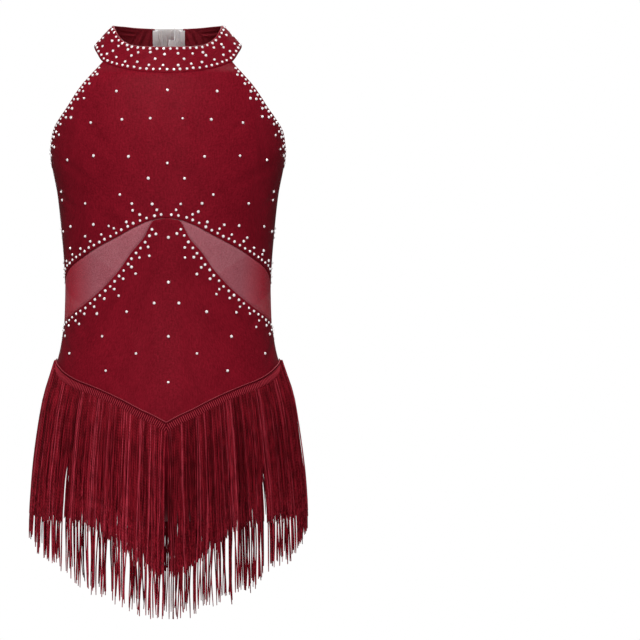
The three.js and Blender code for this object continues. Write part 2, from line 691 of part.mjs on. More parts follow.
/** Header tape with its locks, one solid. */
function buildFringe(name, side, rows, angles) {
  const top = line(rows);
  const foot = (angle) => top(angle) - slantedDrop(side, top, angle, TAPE.height);
  const places = [top, foot].map((height) => angles.map((angle) => (
    [THREE.MathUtils.clamp(angle, -89.8, 89.8), height(angle)]
  )));
  const grid = places.map((row) => row.map(([angle, q]) => formPoint(side, angle, q)));
  const normals = places.map((row) => row.map(([angle, q]) => outwards(side, angle, q)));
  const tape = solidOf(facedOutwards(
    wallFromGrid(grid, normals, TAPE.lift + TAPE.thickness, -TAPE.lift),
  ));
  const locks = evenAngles(side, foot, LOCK.countPerSide).map((angle) => (
    lock(side, angle, foot(angle))
  ));
  addPiece(name, geometryOf(wasm.Manifold.union([tape, ...locks])), COLOURS.fringe);
}

buildFront();
buildBack();
buildCollar();
buildClasp();
buildFringe('fringe_front', FRONT, TAPE_FRONT, mirrored(FRONT_ANGLES));
buildFringe('fringe_back', BACK, TAPE_BACK, mirrored(BACK_ANGLES));

export default model;
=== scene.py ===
"""Halter-neck latin dance leotard with a fringe skirt, filled out as if worn.

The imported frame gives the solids; this script dresses them. Cloth is modelled as thin shells on
the garment's own form: a point of the form is named by its side, its angle from the centre line
of that side, and its height. Lengths in the tables are millimetres, meshes are in metres.
"""
import logging
import math
from dataclasses import dataclass, field
from enum import Enum
from functools import lru_cache
from typing import Callable, Optional, Sequence

import bmesh
import bpy
import numpy as np
from mathutils import Matrix, Vector


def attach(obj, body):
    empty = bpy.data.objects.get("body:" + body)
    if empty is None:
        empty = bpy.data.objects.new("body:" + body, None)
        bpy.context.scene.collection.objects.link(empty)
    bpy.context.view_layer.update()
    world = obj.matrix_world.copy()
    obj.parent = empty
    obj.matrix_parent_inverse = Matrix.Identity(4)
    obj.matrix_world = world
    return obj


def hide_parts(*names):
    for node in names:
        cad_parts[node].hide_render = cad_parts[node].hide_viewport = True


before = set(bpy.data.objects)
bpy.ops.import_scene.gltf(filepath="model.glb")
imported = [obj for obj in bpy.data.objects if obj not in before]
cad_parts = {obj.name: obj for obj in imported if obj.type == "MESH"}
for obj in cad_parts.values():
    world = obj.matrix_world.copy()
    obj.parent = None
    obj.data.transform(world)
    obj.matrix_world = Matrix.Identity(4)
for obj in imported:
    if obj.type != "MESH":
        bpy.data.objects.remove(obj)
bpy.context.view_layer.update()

logging.basicConfig(level=logging.INFO, format="%(message)s")
LOG = logging.getLogger("leotard")

Array = np.ndarray
Line = Callable[[Array], Array]
Rows = Sequence[tuple[float, ...]]
Object = bpy.types.Object
Node = bpy.types.Node
Material = bpy.types.Material
Generator = np.random.Generator
MM = 0.001
# Cloth coordinates are centimetres.
UV_SCALE = 0.1
ROOT = "root"


class Side(Enum):
    """Front or back of the garment, with the sign of its Y direction."""

    FRONT = -1
    BACK = 1


class Slot(Enum):
    """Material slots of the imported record."""

    SATIN = "satin"
    NET = "net"
    TRIM = "trim"
    FRINGE = "fringe"
    CLASP = "clasp"
    STONE = "rhinestone"


# Cloth and trim sizes.
SATIN_WALL = 0.9
NET_WALL = 0.3
COLLAR_WALL = 2.0
COLLAR_END_X = 14.9
KEYHOLE_BINDING_WIDTH = 7.3
ARMHOLE_BINDING_WIDTH = 5.5
TAPE_HEIGHT = 10.5
TAPE_THICKNESS = 1.6
STONE_SIZE = 3.15
STRETCH = 1.06
NARROWEST_SHEET = 10.2
# Share of the upper back's area that its keyhole leaves.
KEYHOLE_LEAVES = 0.93
# Height of the small unevenness along a folded strip.
PUCKERS = 0.12
STONE_SEED = 11


class Profile:
    """Smooth monotone curve through a short table of (place, value) rows."""

    def __init__(self, rows: Rows) -> None:
        """Fits the curve to rows in any order."""
        table = np.array(sorted(rows), dtype=float)
        self.x, self.y = table[:, 0], table[:, 1]
        slope = np.diff(self.y) / np.diff(self.x)
        product = slope[:-1] * slope[1:]
        total = np.where(product > 0, slope[:-1] + slope[1:], 1.0)
        inner = np.where(product > 0, 2 * product / total, 0.0)
        self.tangent = np.concatenate([slope[:1], inner, slope[-1:]])

    def __call__(self, at: Array) -> Array:
        """Value of the curve, held flat past its ends."""
        at = np.clip(at, self.x[0], self.x[-1])
        i = np.clip(np.searchsorted(self.x, at, side="right") - 1, 0, len(self.x) - 2)
        width = self.x[i + 1] - self.x[i]
        share = (at - self.x[i]) / width
        rise = self.y[i + 1] - self.y[i]
        a = self.tangent[i] * width - rise
        b = rise - self.tangent[i + 1] * width
        return self.y[i] + share * rise + share * (1 - share) * (a * (1 - share) + b * share)


def column(table: Rows, index: int) -> Profile:
    """Curve of one column of a table over its first."""
    return Profile([(row[0], row[index]) for row in table])


def even_line(rows: Rows) -> Line:
    """Line round one side, the same on both halves, from angles and heights."""
    profile = Profile(rows)
    return lambda angle: profile(np.abs(angle))


# Body form: distance down, height, half width, depth in front and behind.
BODY = (
    (0, 0, 87, 40, 46),
    (-4.2, -4.2, 88.2, 42, 49.2),
    (-17.9, -17.9, 91.4, 47.2, 62),
    (-31.1, -31.1, 101.9, 63.5, 69),
    (-44.1, -44.1, 111.3, 70, 73.5),
    (-65.1, -65.1, 119.7, 76, 77.5),
    (-90.3, -90.3, 123.9, 81, 80),
    (-108.2, -108.2, 124.2, 83, 80),
    (-127.1, -127.1, 121.8, 84, 79.5),
    (-157.5, -157.5, 116, 83.5, 77),
    (-201.6, -201.6, 111.3, 80, 72),
    (-231, -231, 109, 77.5, 69.5),
    (-252, -252, 108.2, 76.5, 69),
    (-286.7, -286.7, 109, 78, 72),
    (-315, -315, 112.4, 81.5, 78),
    (-341.3, -341.3, 118.7, 85, 84),
    (-372.8, -372.8, 124.4, 88, 90),
    (-405.3, -405.3, 127, 89.5, 94),
    (-425, -425, 127, 88.5, 94),
    (-455, -454, 127, 80, 90),
    (-485, -479, 127, 62, 76),
    (-515, -494, 127, 35, 48),
    (-535, -499, 127, 14, 20),
    (-550, -500.5, 127, 0.2, 0.2),
)

# Collar edges round the neck: angle from the front centre, lower edge, upper edge.
COLLAR_RING = (
    (0, -31.1, -3.2),
    (20, -29.4, -2.7),
    (38, -25.6, -1.4),
    (50, -21.9, 2.1),
    (60.7, -17.9, 7.2),
    (75, -7.2, 16),
    (90, -1.6, 21),
    (120, -2.1, 20.8),
    (150, -3.2, 19.4),
    (180, -3.6, 18.6),
)
# Half width and depths of the collar's two edges.
COLLAR_LOW = (78.2, 64, 58)
COLLAR_TOP = (57.2, 50, 44)
# Where each side leaves the collar: angle on the form, angle on the collar.
FRONT_CORNER = (48.3, 60.7)
BACK_CORNER = (45.6, 53.6)
COLLAR_BLEND = 32

# Seams and edges of the cut pieces: angle from the centre of the side, height.
ARMHOLE_FRONT = even_line(((48.3, -17.9), (51.1, -31.1), (54.6, -44.1), (61, -65.1), (69.5, -79.8),
    (77, -91), (83, -108.2), (90, -127.1)))
ARMHOLE_BACK = even_line(((38, 38), (45.6, -4.2), (48.1, -17.9), (51.1, -31.1), (54.6, -44.1), (61, -65.1),
    (69.5, -79.8), (77, -91), (83, -108.2), (90, -127.1)))
BODICE_HEM = even_line(((0, -183), (6.5, -184.3), (14, -189.4), (27, -201.6), (42.4, -214), (57.6, -225.8),
    (70, -233.5), (80, -241), (90, -249.9)))
FRONT_LOWER_TOP = even_line(((0, -183), (6.5, -185.2), (12.5, -203.7), (19.7, -219), (27.5, -237.7),
    (41, -259.4), (57.6, -276.2), (75, -286.7), (90, -294)))
BACK_BAND_TOP = even_line(((0, -280.4), (7.2, -272.8), (15.4, -260.6), (23.8, -249.4), (29.2, -240.3),
    (46.4, -222.6), (62.3, -208.5), (80, -195), (90, -187)))
BACK_BAND_HEM = even_line(((0, -323.4), (11.3, -311.2), (21.6, -301.9), (32.9, -290.6), (45.7, -281.3),
    (60.7, -270.9), (78, -260), (90, -249.9)))
BACK_LOWER_TOP = even_line(((0, -361), (4.6, -359.1), (10, -354.4), (19.7, -343.1), (30.5, -331),
    (43.1, -320.7), (59.8, -308.5), (78, -300.5), (90, -294)))
LEG_FRONT = even_line(((0, -550), (14, -550), (19, -516), (25, -492), (32, -474), (40, -459), (54.6, -438),
    (69.5, -420), (90, -402)))
LEG_BACK = even_line(((0, -550), (14, -550), (19, -528), (25, -510), (32, -492), (42, -470), (54.6, -448),
    (69.5, -426), (90, -402)))
TAPE_FRONT = even_line(((0, -394.5), (6.7, -386.6), (11.8, -381.6), (19.6, -373.1), (29.6, -364),
    (40.3, -356.5), (50.5, -350.9), (62, -343.9), (73, -337), (90, -329.5)))
TAPE_BACK = even_line(((0, -406.6), (13.1, -395.5), (28, -374.9), (35.4, -365.6), (48.3, -352.5),
    (62.3, -343.1), (76, -335.5), (90, -329.5)))
# Keyhole: inner edge of its binding, half width and height.
KEYHOLE = ((16.5, 4), (18.4, -6.5), (20.6, -17), (23.3, -28.5), (27.3, -43), (31.4, -57), (34.4, -75),
    (35.7, -94.5), (35.2, -108), (32.9, -121), (27.6, -133), (20.4, -140.8), (10.6, -145.3), (0, -146.3))
# Envelope of the hanging strands: height, half width, depth in front and behind.
SKIRT = ((-329, 118.2, 85, 83), (-340.2, 121.8, 87, 86.5), (-356, 126, 90, 91), (-372.8, 130.2, 92, 94.5),
    (-405.3, 135.5, 94.5, 99), (-465.2, 142.3, 97, 103), (-508.2, 144.9, 98.5, 105),
    (-600, 146, 100, 106.5))
# Ends of the long strands, and of the dense inner layer: angle, height.
STRAND_TIPS = Profile(((0, -598.5), (9, -594.3), (22, -579.5), (36, -569), (51.5, -544), (63, -536.6),
    (80, -514), (90, -508)))
DENSE_TIPS = Profile(((0, -553), (9, -547), (21, -524), (33, -505), (45, -499), (60, -497), (78, -493),
    (90, -490)))
TAPE_LINES = {Side.FRONT: TAPE_FRONT, Side.BACK: TAPE_BACK}
KEYHOLE_WIDTH = Profile([(z, x) for x, z in KEYHOLE])


def unit(vectors: Array) -> Array:
    """Vectors scaled to length one."""
    return vectors / np.maximum(np.linalg.norm(vectors, axis=-1, keepdims=True), 1e-12)


def travelled(points: Array) -> Array:
    """Distance from the first row of points to each row, along their columns."""
    steps = np.linalg.norm(np.diff(points, axis=0), axis=-1)
    return np.concatenate([np.zeros_like(steps[:1]), np.cumsum(steps, axis=0)])


def turned_to(vectors: Array, out: Array) -> Array:
    """Vectors turned to the side that another direction points to."""
    return np.where(np.sum(vectors * out, -1, keepdims=True) < 0, -vectors, vectors)


class BodyForm:
    """The form that every cloth panel lies on."""

    def __init__(self) -> None:
        """Fits the curves of the body, the collar and the skirt."""
        self.height = column(BODY, 1)
        self.half_width = column(BODY, 2)
        self.depth = {Side.FRONT: column(BODY, 3), Side.BACK: column(BODY, 4)}
        self.collar_low = column(COLLAR_RING, 1)
        self.collar_top = column(COLLAR_RING, 2)
        self.skirt_width = column(SKIRT, 1)
        self.skirt_depth = {Side.FRONT: column(SKIRT, 2), Side.BACK: column(SKIRT, 3)}

    def collar_point(self, angle: Array, up: Array) -> Array:
        """Point of the collar's surface.

        Args:
            angle: Degrees from the front centre, positive to the wearer's left.
            up: Share of the way up from the lower edge.

        Returns:
            Points in millimetres.
        """
        low, top = COLLAR_LOW, COLLAR_TOP
        width, front, back = (low[k] + (top[k] - low[k]) * up for k in range(3))
        depth = np.where(np.abs(angle) < 90, front, back)
        foot = self.collar_low(np.abs(angle))
        height = foot + (self.collar_top(np.abs(angle)) - foot) * up
        turn = np.radians(angle)
        return np.stack([width * np.sin(turn), -depth * np.cos(turn), height], -1)

    def collar_normal(self, angle: Array, up: Array) -> Array:
        """Outward direction of the collar's surface."""
        across = self.collar_point(angle + 0.5, up) - self.collar_point(angle - 0.5, up)
        rise = self.collar_point(angle, up + 0.02) - self.collar_point(angle, up - 0.02)
        turn = np.radians(angle)
        out = np.stack([np.sin(turn), -np.cos(turn), 0 * turn], -1)
        return turned_to(unit(np.cross(across, rise)), out)

    def collar_angle(self, side: Side, angle: Array) -> Array:
        """Collar angle that belongs to a form angle of one side."""
        if side is Side.FRONT:
            return angle * FRONT_CORNER[1] / FRONT_CORNER[0]
        return 180 - angle * BACK_CORNER[1] / BACK_CORNER[0]

    def collar_seam(self, side: Side, angle: Array) -> Array:
        """Height of the collar's lower seam at a form angle."""
        return self.collar_low(np.abs(self.collar_angle(side, angle)))

    def bare_point(self, side: Side, angle: Array, q: Array) -> Array:
        """Plain form point, before it is led to the collar."""
        turn = np.radians(angle)
        deep = side.value * self.depth[side](q) * np.cos(turn)
        return np.stack([self.half_width(q) * np.sin(turn), deep, self.height(q)], -1)

    def point(self, side: Side, angle: Array, q: Array) -> Array:
        """Form point, led smoothly to the lower edge of the collar near the neck.

        Args:
            side: Front or back.
            angle: Degrees from the centre of that side.
            q: Distance down the form, which is the height above the seat.

        Returns:
            Points in millimetres.
        """
        angle, q = np.broadcast_arrays(np.asarray(angle, float), np.asarray(q, float))
        corner = FRONT_CORNER if side is Side.FRONT else BACK_CORNER
        limited = np.clip(angle, -corner[0], corner[0])
        seam = self.collar_seam(side, limited)
        near = np.clip(1 - np.clip(seam - q, 0, None) / COLLAR_BLEND, 0, None)
        target = self.collar_point(self.collar_angle(side, limited), 0 * limited)
        pull = target - self.bare_point(side, limited, seam)
        return self.bare_point(side, angle, q) + pull * (near ** 2)[..., None]

    def normal(self, side: Side, angle: Array, q: Array) -> Array:
        """Outward direction of the form."""
        angle, q = np.broadcast_arrays(np.asarray(angle, float), np.asarray(q, float))
        across = self.point(side, angle + 0.5, q) - self.point(side, angle - 0.5, q)
        down = self.point(side, angle, q - 1) - self.point(side, angle, q + 1)
        turn = np.radians(angle)
        out = np.stack([np.sin(turn), 0 * turn + side.value, 0 * turn], -1)
        return turned_to(unit(np.cross(down, across)), out)

    def drop(self, side: Side, line: Line, angle: Array, distance: float) -> Array:
        """How far down a line moves when it is moved square to itself.

        Args:
            side: Front or back.
            line: Height at an angle.
            angle: Degrees from the centre.
            distance: Millimetres along the cloth.

        Returns:
            Millimetres downwards.
        """
        low = np.maximum(0, np.abs(angle) - 1)
        high = np.minimum(90, np.abs(angle) + 1)
        rise = (line(high) - line(low)) / (high - low)
        q = line(angle)
        step = self.bare_point(side, angle + 0.5, q) - self.bare_point(side, angle - 0.5, q)
        return distance * np.hypot(1, rise / np.linalg.norm(step, axis=-1))

    def offset(self, side: Side, angle: Array, q: Array, distance: float) -> tuple[Array, Array]:
        """Moves a line sideways on the form, to the right of its direction for positive values.

        Args:
            side: Front or back.
            angle: Angles along the line.
            q: Heights along the line.
            distance: Millimetres along the cloth.

        Returns:
            Angles and heights of the moved line.
        """
        start = self.point(side, angle, q)
        along = unit(np.gradient(start, axis=0))
        across = unit(np.cross(along, self.normal(side, angle, q)))
        goal = start + across * distance
        turn, down = np.array(angle, float), np.array(q, float)
        for _ in range(4):
            da = self.point(side, turn + 0.5, down) - self.point(side, turn - 0.5, down)
            dq = self.point(side, turn, down + 0.5) - self.point(side, turn, down - 0.5)
            miss = goal - self.point(side, turn, down)
            aa, bb, ab = ((u * v).sum(-1) for u, v in ((da, da), (dq, dq), (da, dq)))
            am, bm = (da * miss).sum(-1), (dq * miss).sum(-1)
            spread = np.maximum(aa * bb - ab * ab, 1e-6)
            turn = turn + (am * bb - bm * ab) / spread
            down = down + (bm * aa - am * ab) / spread
        return turn, down

    def skirt_point(self, side: Side, angle: Array, z: Array) -> Array:
        """Point of the envelope that the hanging strands follow."""
        turn = np.radians(angle)
        deep = side.value * self.skirt_depth[side](z) * np.cos(turn)
        return np.stack([self.skirt_width(z) * np.sin(turn), deep, z], -1)


FORM = BodyForm()


# Meshes.
def make_mesh(name: str, points: Array, faces: Sequence[Sequence[int]] = (), uv: Optional[Array] = None,
        smooth: bool = True, edges: Sequence[Sequence[int]] = ()) -> Object:
    """Makes an object from points in millimetres.

    Args:
        name: Name of the object.
        points: Vertices in millimetres.
        faces: Vertex indices of each face.
        uv: Flat cloth coordinates of each vertex, in centimetres.
        smooth: Whether the faces are shaded smoothly.
        edges: Vertex indices of loose edges.

    Returns:
        The linked object.
    """
    mesh = bpy.data.meshes.new(name)
    mesh.from_pydata((np.asarray(points) * MM).tolist(), list(edges), list(faces))
    if uv is not None:
        corners = np.empty(len(mesh.loops), dtype=np.int32)
        mesh.loops.foreach_get("vertex_index", corners)
        layer = mesh.uv_layers.new(name="cloth")
        layer.data.foreach_set("uv", np.asarray(uv, dtype=np.float32)[corners].ravel())
    if smooth:
        mesh.shade_smooth()
    mesh.update()
    obj = bpy.data.objects.new(name, mesh)
    bpy.context.scene.collection.objects.link(obj)
    return obj


def add_attribute(obj: Object, name: str, values: Array) -> None:
    """Gives every vertex a number or a vector of its own."""
    kind, key = ("FLOAT", "value") if values.ndim == 1 else ("FLOAT_VECTOR", "vector")
    layer = obj.data.attributes.new(name, kind, "POINT")
    layer.data.foreach_set(key, values.astype(np.float32).ravel())


def ring_faces(rings: int, count: int) -> list[list[int]]:
    """Faces of a tube of rings with the same count of vertices, with both its ends.

    Args:
        rings: Number of rings.
        count: Vertices in each ring.

    Returns:
        Vertex indices of each face.
    """
    faces = []
    for j in range(rings - 1):
        for i in range(count):
            a, b = j * count + i, j * count + (i + 1) % count
            faces.append([a, a + count, b + count, b])
    last = (rings - 1) * count
    return faces + [list(range(count)), list(range(last, last + count))[::-1]]


def face_outwards(obj: Object) -> None:
    """Turns a closed mesh so that its faces point out, by the sign of its volume."""
    body = bmesh.new()
    body.from_mesh(obj.data)
    if body.calc_volume(signed=True) < 0:
        obj.data.flip_normals()
    body.free()


def tube(name: str, grid: Array, uv: Array) -> Object:
    """Closed tube over a grid whose rows are its rings."""
    obj = make_mesh(name, grid.reshape(-1, 3), ring_faces(*grid.shape[:2]), uv.reshape(-1, 2))
    face_outwards(obj)
    return obj


def area_of(grid: Array) -> float:
    """Area of a grid surface in square metres."""
    a = grid[1:, :-1] - grid[:-1, :-1]
    b = grid[:-1, 1:] - grid[:-1, :-1]
    c = grid[1:, :-1] - grid[1:, 1:]
    d = grid[:-1, 1:] - grid[1:, 1:]
    total = np.linalg.norm(np.cross(a, b), axis=-1) + np.linalg.norm(np.cross(c, d), axis=-1)
    return float(total.sum()) / 2 * MM * MM


def shell(name: str, outer: Array, inner: Array, uv: Array, keep: Optional[Array] = None,
        side: Optional[Array] = None) -> Object:
    """Closed thin wall between two grids of points.

    Args:
        name: Name of the object.
        outer: Outer grid, rows by columns by three.
        inner: Inner grid of the same size.
        uv: Flat cloth coordinates of the grid.
        keep: Mask of the grid's faces that stay, or None for all of them.
        side: How near the side seam each point lies, kept as an attribute.

    Returns:
        The linked object.
    """
    rows, columns = outer.shape[:2]
    if keep is None:
        keep = np.ones((rows - 1, columns - 1), dtype=bool)
    count = rows * columns
    faces: list[list[int]] = []
    padded = np.pad(keep, 1)
    for j, i in zip(*np.nonzero(keep)):
        a, b = int(j * columns + i), int(j * columns + i + 1)
        c, d = b + columns, a + columns
        faces += [[a, d, c, b], [count + a, count + b, count + c, count + d]]
        rims = ((padded[j, i + 1], a, b), (padded[j + 2, i + 1], c, d), (padded[j + 1, i], d, a),
            (padded[j + 1, i + 2], b, c))
        faces += [[p, r, count + r, count + p] for covered, p, r in rims if not covered]
    points = np.concatenate([outer.reshape(-1, 3), inner.reshape(-1, 3)])
    flat = np.concatenate([uv.reshape(-1, 2)] * 2)
    used = np.unique(np.array(faces))
    place = np.zeros(2 * count, dtype=np.int64)
    place[used] = np.arange(len(used))
    obj = make_mesh(name, points[used], place[np.array(faces)].tolist(), flat[used])
    if side is not None:
        add_attribute(obj, "side", np.tile(side.ravel(), 2)[used])
    inside = [face[0] >= count and face[2] >= count for face in faces]
    obj.data.polygons.foreach_set("material_index", np.array(inside, dtype=np.int32))
    face_outwards(obj)
    return obj


@dataclass(frozen=True)
class Crease:
    """A soft trough across the cloth between two places of angle and height.

    Its width is the half breadth, a negative depth makes a ridge, and the bow bends its middle.
    """

    start: tuple[float, float]
    end: tuple[float, float]
    width: float
    depth: float
    bow: float = 0.0

    def push(self, angle: Array, q: Array, arc: float = 1.75) -> Array:
        """Inward push of the crease.

        Args:
            angle: Angles of the points.
            q: Heights of the points.
            arc: Millimetres for each degree.

        Returns:
            Millimetres inwards at each point.
        """
        start = np.array([self.start[0] * arc, self.start[1]])
        run = np.array([self.end[0] * arc, self.end[1]]) - start
        length = float(np.hypot(*run))
        along = unit(run)
        dx, dy = angle * arc - start[0], q - start[1]
        share = (dx * along[0] + dy * along[1]) / length
        side = -dx * along[1] + dy * along[0]
        middle = np.clip(1 - (2 * share - 1) ** 2, 0, None)
        side = side - self.bow * middle
        fade = np.clip(middle, 0, 1) ** 0.6 * (np.abs(share - 0.5) < 0.5)
        trough = np.exp(-((side / self.width) ** 2))
        lip = 0.35 * np.exp(-(((np.abs(side) - 2.0 * self.width) / self.width) ** 2))
        return self.depth * fade * (trough - lip)


def creases(*rows: tuple) -> tuple[Crease, ...]:
    """Creases from rows of both ends, half breadth, depth and bow."""
    return tuple(Crease(*row) for row in rows)


@dataclass(frozen=True)
class Edge:
    """How far cloth runs on past its seam line, and how deep and wide its edge rolls in."""

    reach: float = 0.0
    dip: float = 0.55
    roll: float = 0.9


@dataclass
class ClothPanel:
    """One cut piece of cloth on the form.

    Attributes:
        limits: Angles where the piece begins and ends.
        lift: How far the outer face stands off the form.
        rows: Rows of faces.
        step: Degrees for each column.
        hole: Test that names the points which are cut away.
        slender: Least share of its rectangle that the piece fills when it lies squarely.
    """

    node: str
    slot: Slot
    side: Side
    top: Line
    bottom: Line
    limits: tuple[float, float] = (-90.0, 90.0)
    wall: float = SATIN_WALL
    lift: float = 0.0
    rows: int = 96
    step: float = 0.9
    creases: Sequence[Crease] = ()
    top_edge: Edge = Edge()
    bottom_edge: Edge = Edge()
    hole: Optional[Callable[[Array], Array]] = None
    slender: float = 0.45

    def places(self) -> tuple[Array, Array]:
        """Angles and heights of the grid, closer together near the upper and lower edges."""
        count = int(math.ceil((self.limits[1] - self.limits[0]) / self.step)) + 1
        angles = np.linspace(self.limits[0], self.limits[1], count)
        ends = (angles[:1], angles[-1:])
        near = np.array([0.18, 0.42, 0.72])
        angles = np.unique(np.concatenate([angles, ends[0] + near, ends[1] - near]))
        share = np.linspace(0, 1, self.rows + 1)
        share = share - 0.75 * np.sin(2 * np.pi * share) / (2 * np.pi)
        upper = self.top(angles) + self.top_edge.reach
        lower = self.bottom(angles) - self.bottom_edge.reach
        lower = np.minimum(lower, upper - 0.4)
        q = upper + (lower - upper) * share[:, None]
        return np.broadcast_to(angles, q.shape), q

    def inwards(self, angle: Array, q: Array) -> Array:
        """How far the cloth lies below the form at each point, from its creases and its edges."""
        arc = 1.9
        push = sum((crease.push(angle, q) for crease in self.creases), np.zeros_like(q))
        sides = np.minimum(angle - self.limits[0], self.limits[1] - angle) * arc
        for edge, distance in ((self.top_edge, self.top(angle[0]) - q),
                (self.bottom_edge, q - self.bottom(angle[0])), (Edge(), sides)):
            push = push + edge.dip * np.exp(-((np.clip(distance, 0, None) / edge.roll) ** 2))
        return push

    def flat_size(self, grid: Array) -> tuple[tuple[float, float], float]:
        """Size that the piece was cut to, before it was stretched.

        Args:
            grid: Outer grid of points.

        Returns:
            Width and length in metres, and the area in square metres.
        """
        width = travelled(grid.swapaxes(0, 1))[-1].max()
        length = max(travelled(grid)[-1].max(), np.ptp(grid[..., 2]))
        area = area_of(grid) / STRETCH ** 2
        width, length = float(width) * MM / STRETCH, float(length) * MM / STRETCH
        length = min(length, area / (self.slender * width))
        return (width, length), min(area, width * length)

    def build(self) -> tuple[Object, Array]:
        """Makes the piece.

        Returns:
            The object and its outer grid.
        """
        angle, q = self.places()
        base = FORM.point(self.side, angle, q)
        normal = FORM.normal(self.side, angle, q)
        depth = self.inwards(angle, q) - self.lift
        outer = base - normal * depth[..., None]
        inner = outer - normal * self.wall
        u = travelled(base.swapaxes(0, 1)).T
        u = u - u[:, u.shape[1] // 2, None]
        uv = np.stack([u, q.max() - travelled(base)], -1) * UV_SCALE
        keep = self.hole and ~self.hole((base[1:, 1:] + base[:-1, :-1]) / 2)
        return shell(f"cloth_{self.node}", outer, inner, uv, keep, np.abs(angle) / 90.0), outer


# Shader node groups and finishes.
Socket = bpy.types.NodeSocket
Colour = tuple[float, float, float]


class Graph:
    """Short hand for building a node tree."""

    def __init__(self, tree: bpy.types.NodeTree) -> None:
        """Starts on a tree."""
        self.tree = tree

    def add(self, kind: str, settings: Optional[dict] = None, **inputs: object) -> Node:
        """Adds a node.

        Args:
            kind: Node type.
            settings: Attributes of the node.
            inputs: Values or sockets for its inputs, as for fill.

        Returns:
            The new node.
        """
        node = self.tree.nodes.new(kind)
        for key, value in (settings or {}).items():
            setattr(node, key, value)
        self.fill(node, **inputs)
        return node

    def fill(self, node: Node, **inputs: object) -> None:
        """Feeds a node's inputs by name, with spaces written as underscores."""
        for key, value in inputs.items():
            self.feed(node.inputs[key.replace("_", " ")], value)

    def feed(self, socket: Socket, value: object) -> None:
        """Links a socket into another, or sets its value."""
        if isinstance(value, bpy.types.NodeSocket):
            self.tree.links.new(value, socket)
        elif isinstance(value, tuple) and len(value) == 3 and socket.type == "RGBA":
            socket.default_value = (*value, 1.0)
        else:
            socket.default_value = value

    def math(self, operation: str, *values: object, clamp: bool = False) -> Socket:
        """Adds a math node and gives its output."""
        node = self.tree.nodes.new("ShaderNodeMath")
        node.operation = operation
        node.use_clamp = clamp
        for socket, value in zip(node.inputs, values):
            self.feed(socket, value)
        return node.outputs[0]

    def mix(self, share: object, a: object, b: object) -> Socket:
        """Mixes two colours."""
        node = self.tree.nodes.new("ShaderNodeMix")
        node.data_type = "RGBA"
        for socket, value in zip((node.inputs[0], node.inputs[6], node.inputs[7]), (share, a, b)):
            self.feed(socket, value)
        return node.outputs[2]

    def span(self, value: object, low: float, high: float, to_low: float, to_high: float) -> Socket:
        """Maps a value from one range to another and clamps it."""
        node = self.add("ShaderNodeMapRange")
        for socket, entry in zip(node.inputs, (value, low, high, to_low, to_high)):
            self.feed(socket, entry)
        return node.outputs[0]

    def bump(self, strength: float, distance: float, height: Socket) -> Socket:
        """Turns a height into a relief of the surface."""
        return self.add("ShaderNodeBump", Strength=strength, Distance=distance, Height=height).outputs[0]

    def named(self, name: str, kind: str = "FLOAT") -> Socket:
        """Reads a named attribute in a Geometry Nodes tree."""
        return self.add("GeometryNodeInputNamedAttribute", {"data_type": kind}, Name=name).outputs[0]

    def store(self, geometry: Socket, name: str, value: Socket) -> Socket:
        """Stores a value at every point as a named attribute."""
        node = self.add("GeometryNodeStoreNamedAttribute", {"data_type": "FLOAT", "domain": "POINT"},
            Geometry=geometry, Name=name)
        self.feed(next(s for s in node.inputs if s.name == "Value" and s.enabled), value)
        return node.outputs[0]

    def paint(self, geometry: Socket, finish: Socket) -> Socket:
        """Makes instances real and gives the result a material."""
        real = self.add("GeometryNodeRealizeInstances", Geometry=geometry).outputs[0]
        return self.add("GeometryNodeSetMaterial", Geometry=real, Material=finish).outputs[0]


def shader_group(
    name: str,
    inputs: Sequence[tuple[str, str, object]],
    outputs: Sequence[tuple[str, str]],
) -> tuple[bpy.types.NodeTree, Graph, bpy.types.NodeOutputs, bpy.types.NodeInputs]:
    """Makes an empty shader node group.

    Args:
        name: Name of the group.
        inputs: Name, socket type and default value of each input.
        outputs: Name and socket type of each output.

    Returns:
        The tree, its graph, the sockets that come in and those that go out.
    """
    tree = bpy.data.node_groups.new(name, "ShaderNodeTree")
    for label, kind, value in inputs:
        socket = tree.interface.new_socket(label, in_out="INPUT", socket_type=kind)
        if value is not None:
            socket.default_value = (*value, 1.0) if isinstance(value, tuple) else value
    for label, kind in outputs:
        tree.interface.new_socket(label, in_out="OUTPUT", socket_type=kind)
    graph = Graph(tree)
    return tree, graph, graph.add("NodeGroupInput").outputs, graph.add("NodeGroupOutput").inputs


FLOAT = "NodeSocketFloat"
VECTOR = "NodeSocketVector"
COLOUR = "NodeSocketColor"


def build_knit_group() -> bpy.types.NodeTree:
    """Fine knit of stretch cloth: small staggered loops with uneven yarn."""
    tree, g, source, sink = shader_group("cloth_knit", [("Place", VECTOR, None), ("Pitch", FLOAT, 0.09)],
        [("Height", FLOAT), ("Mask", FLOAT)])
    parts = g.add("ShaderNodeSeparateXYZ", Vector=source["Place"])
    turn = g.math("DIVIDE", 2 * math.pi, source["Pitch"])
    wale = g.math("SINE", g.math("MULTIPLY", parts.outputs[0], turn))
    course = g.math("SINE", g.math("MULTIPLY", g.math("MULTIPLY", parts.outputs[1], turn), 0.8))
    loops = g.math("MULTIPLY_ADD", g.math("MULTIPLY", wale, course), 0.35, 0.5)
    yarn = g.add("ShaderNodeTexNoise", Vector=source["Place"], Scale=9.0, Detail=4.0)
    height = g.math("MULTIPLY_ADD", yarn.outputs[0], 0.5, g.math("MULTIPLY", loops, 0.5))
    g.feed(sink["Height"], height)
    g.feed(sink["Mask"], g.span(height, 0.3, 0.7, 0.0, 1.0))
    return tree


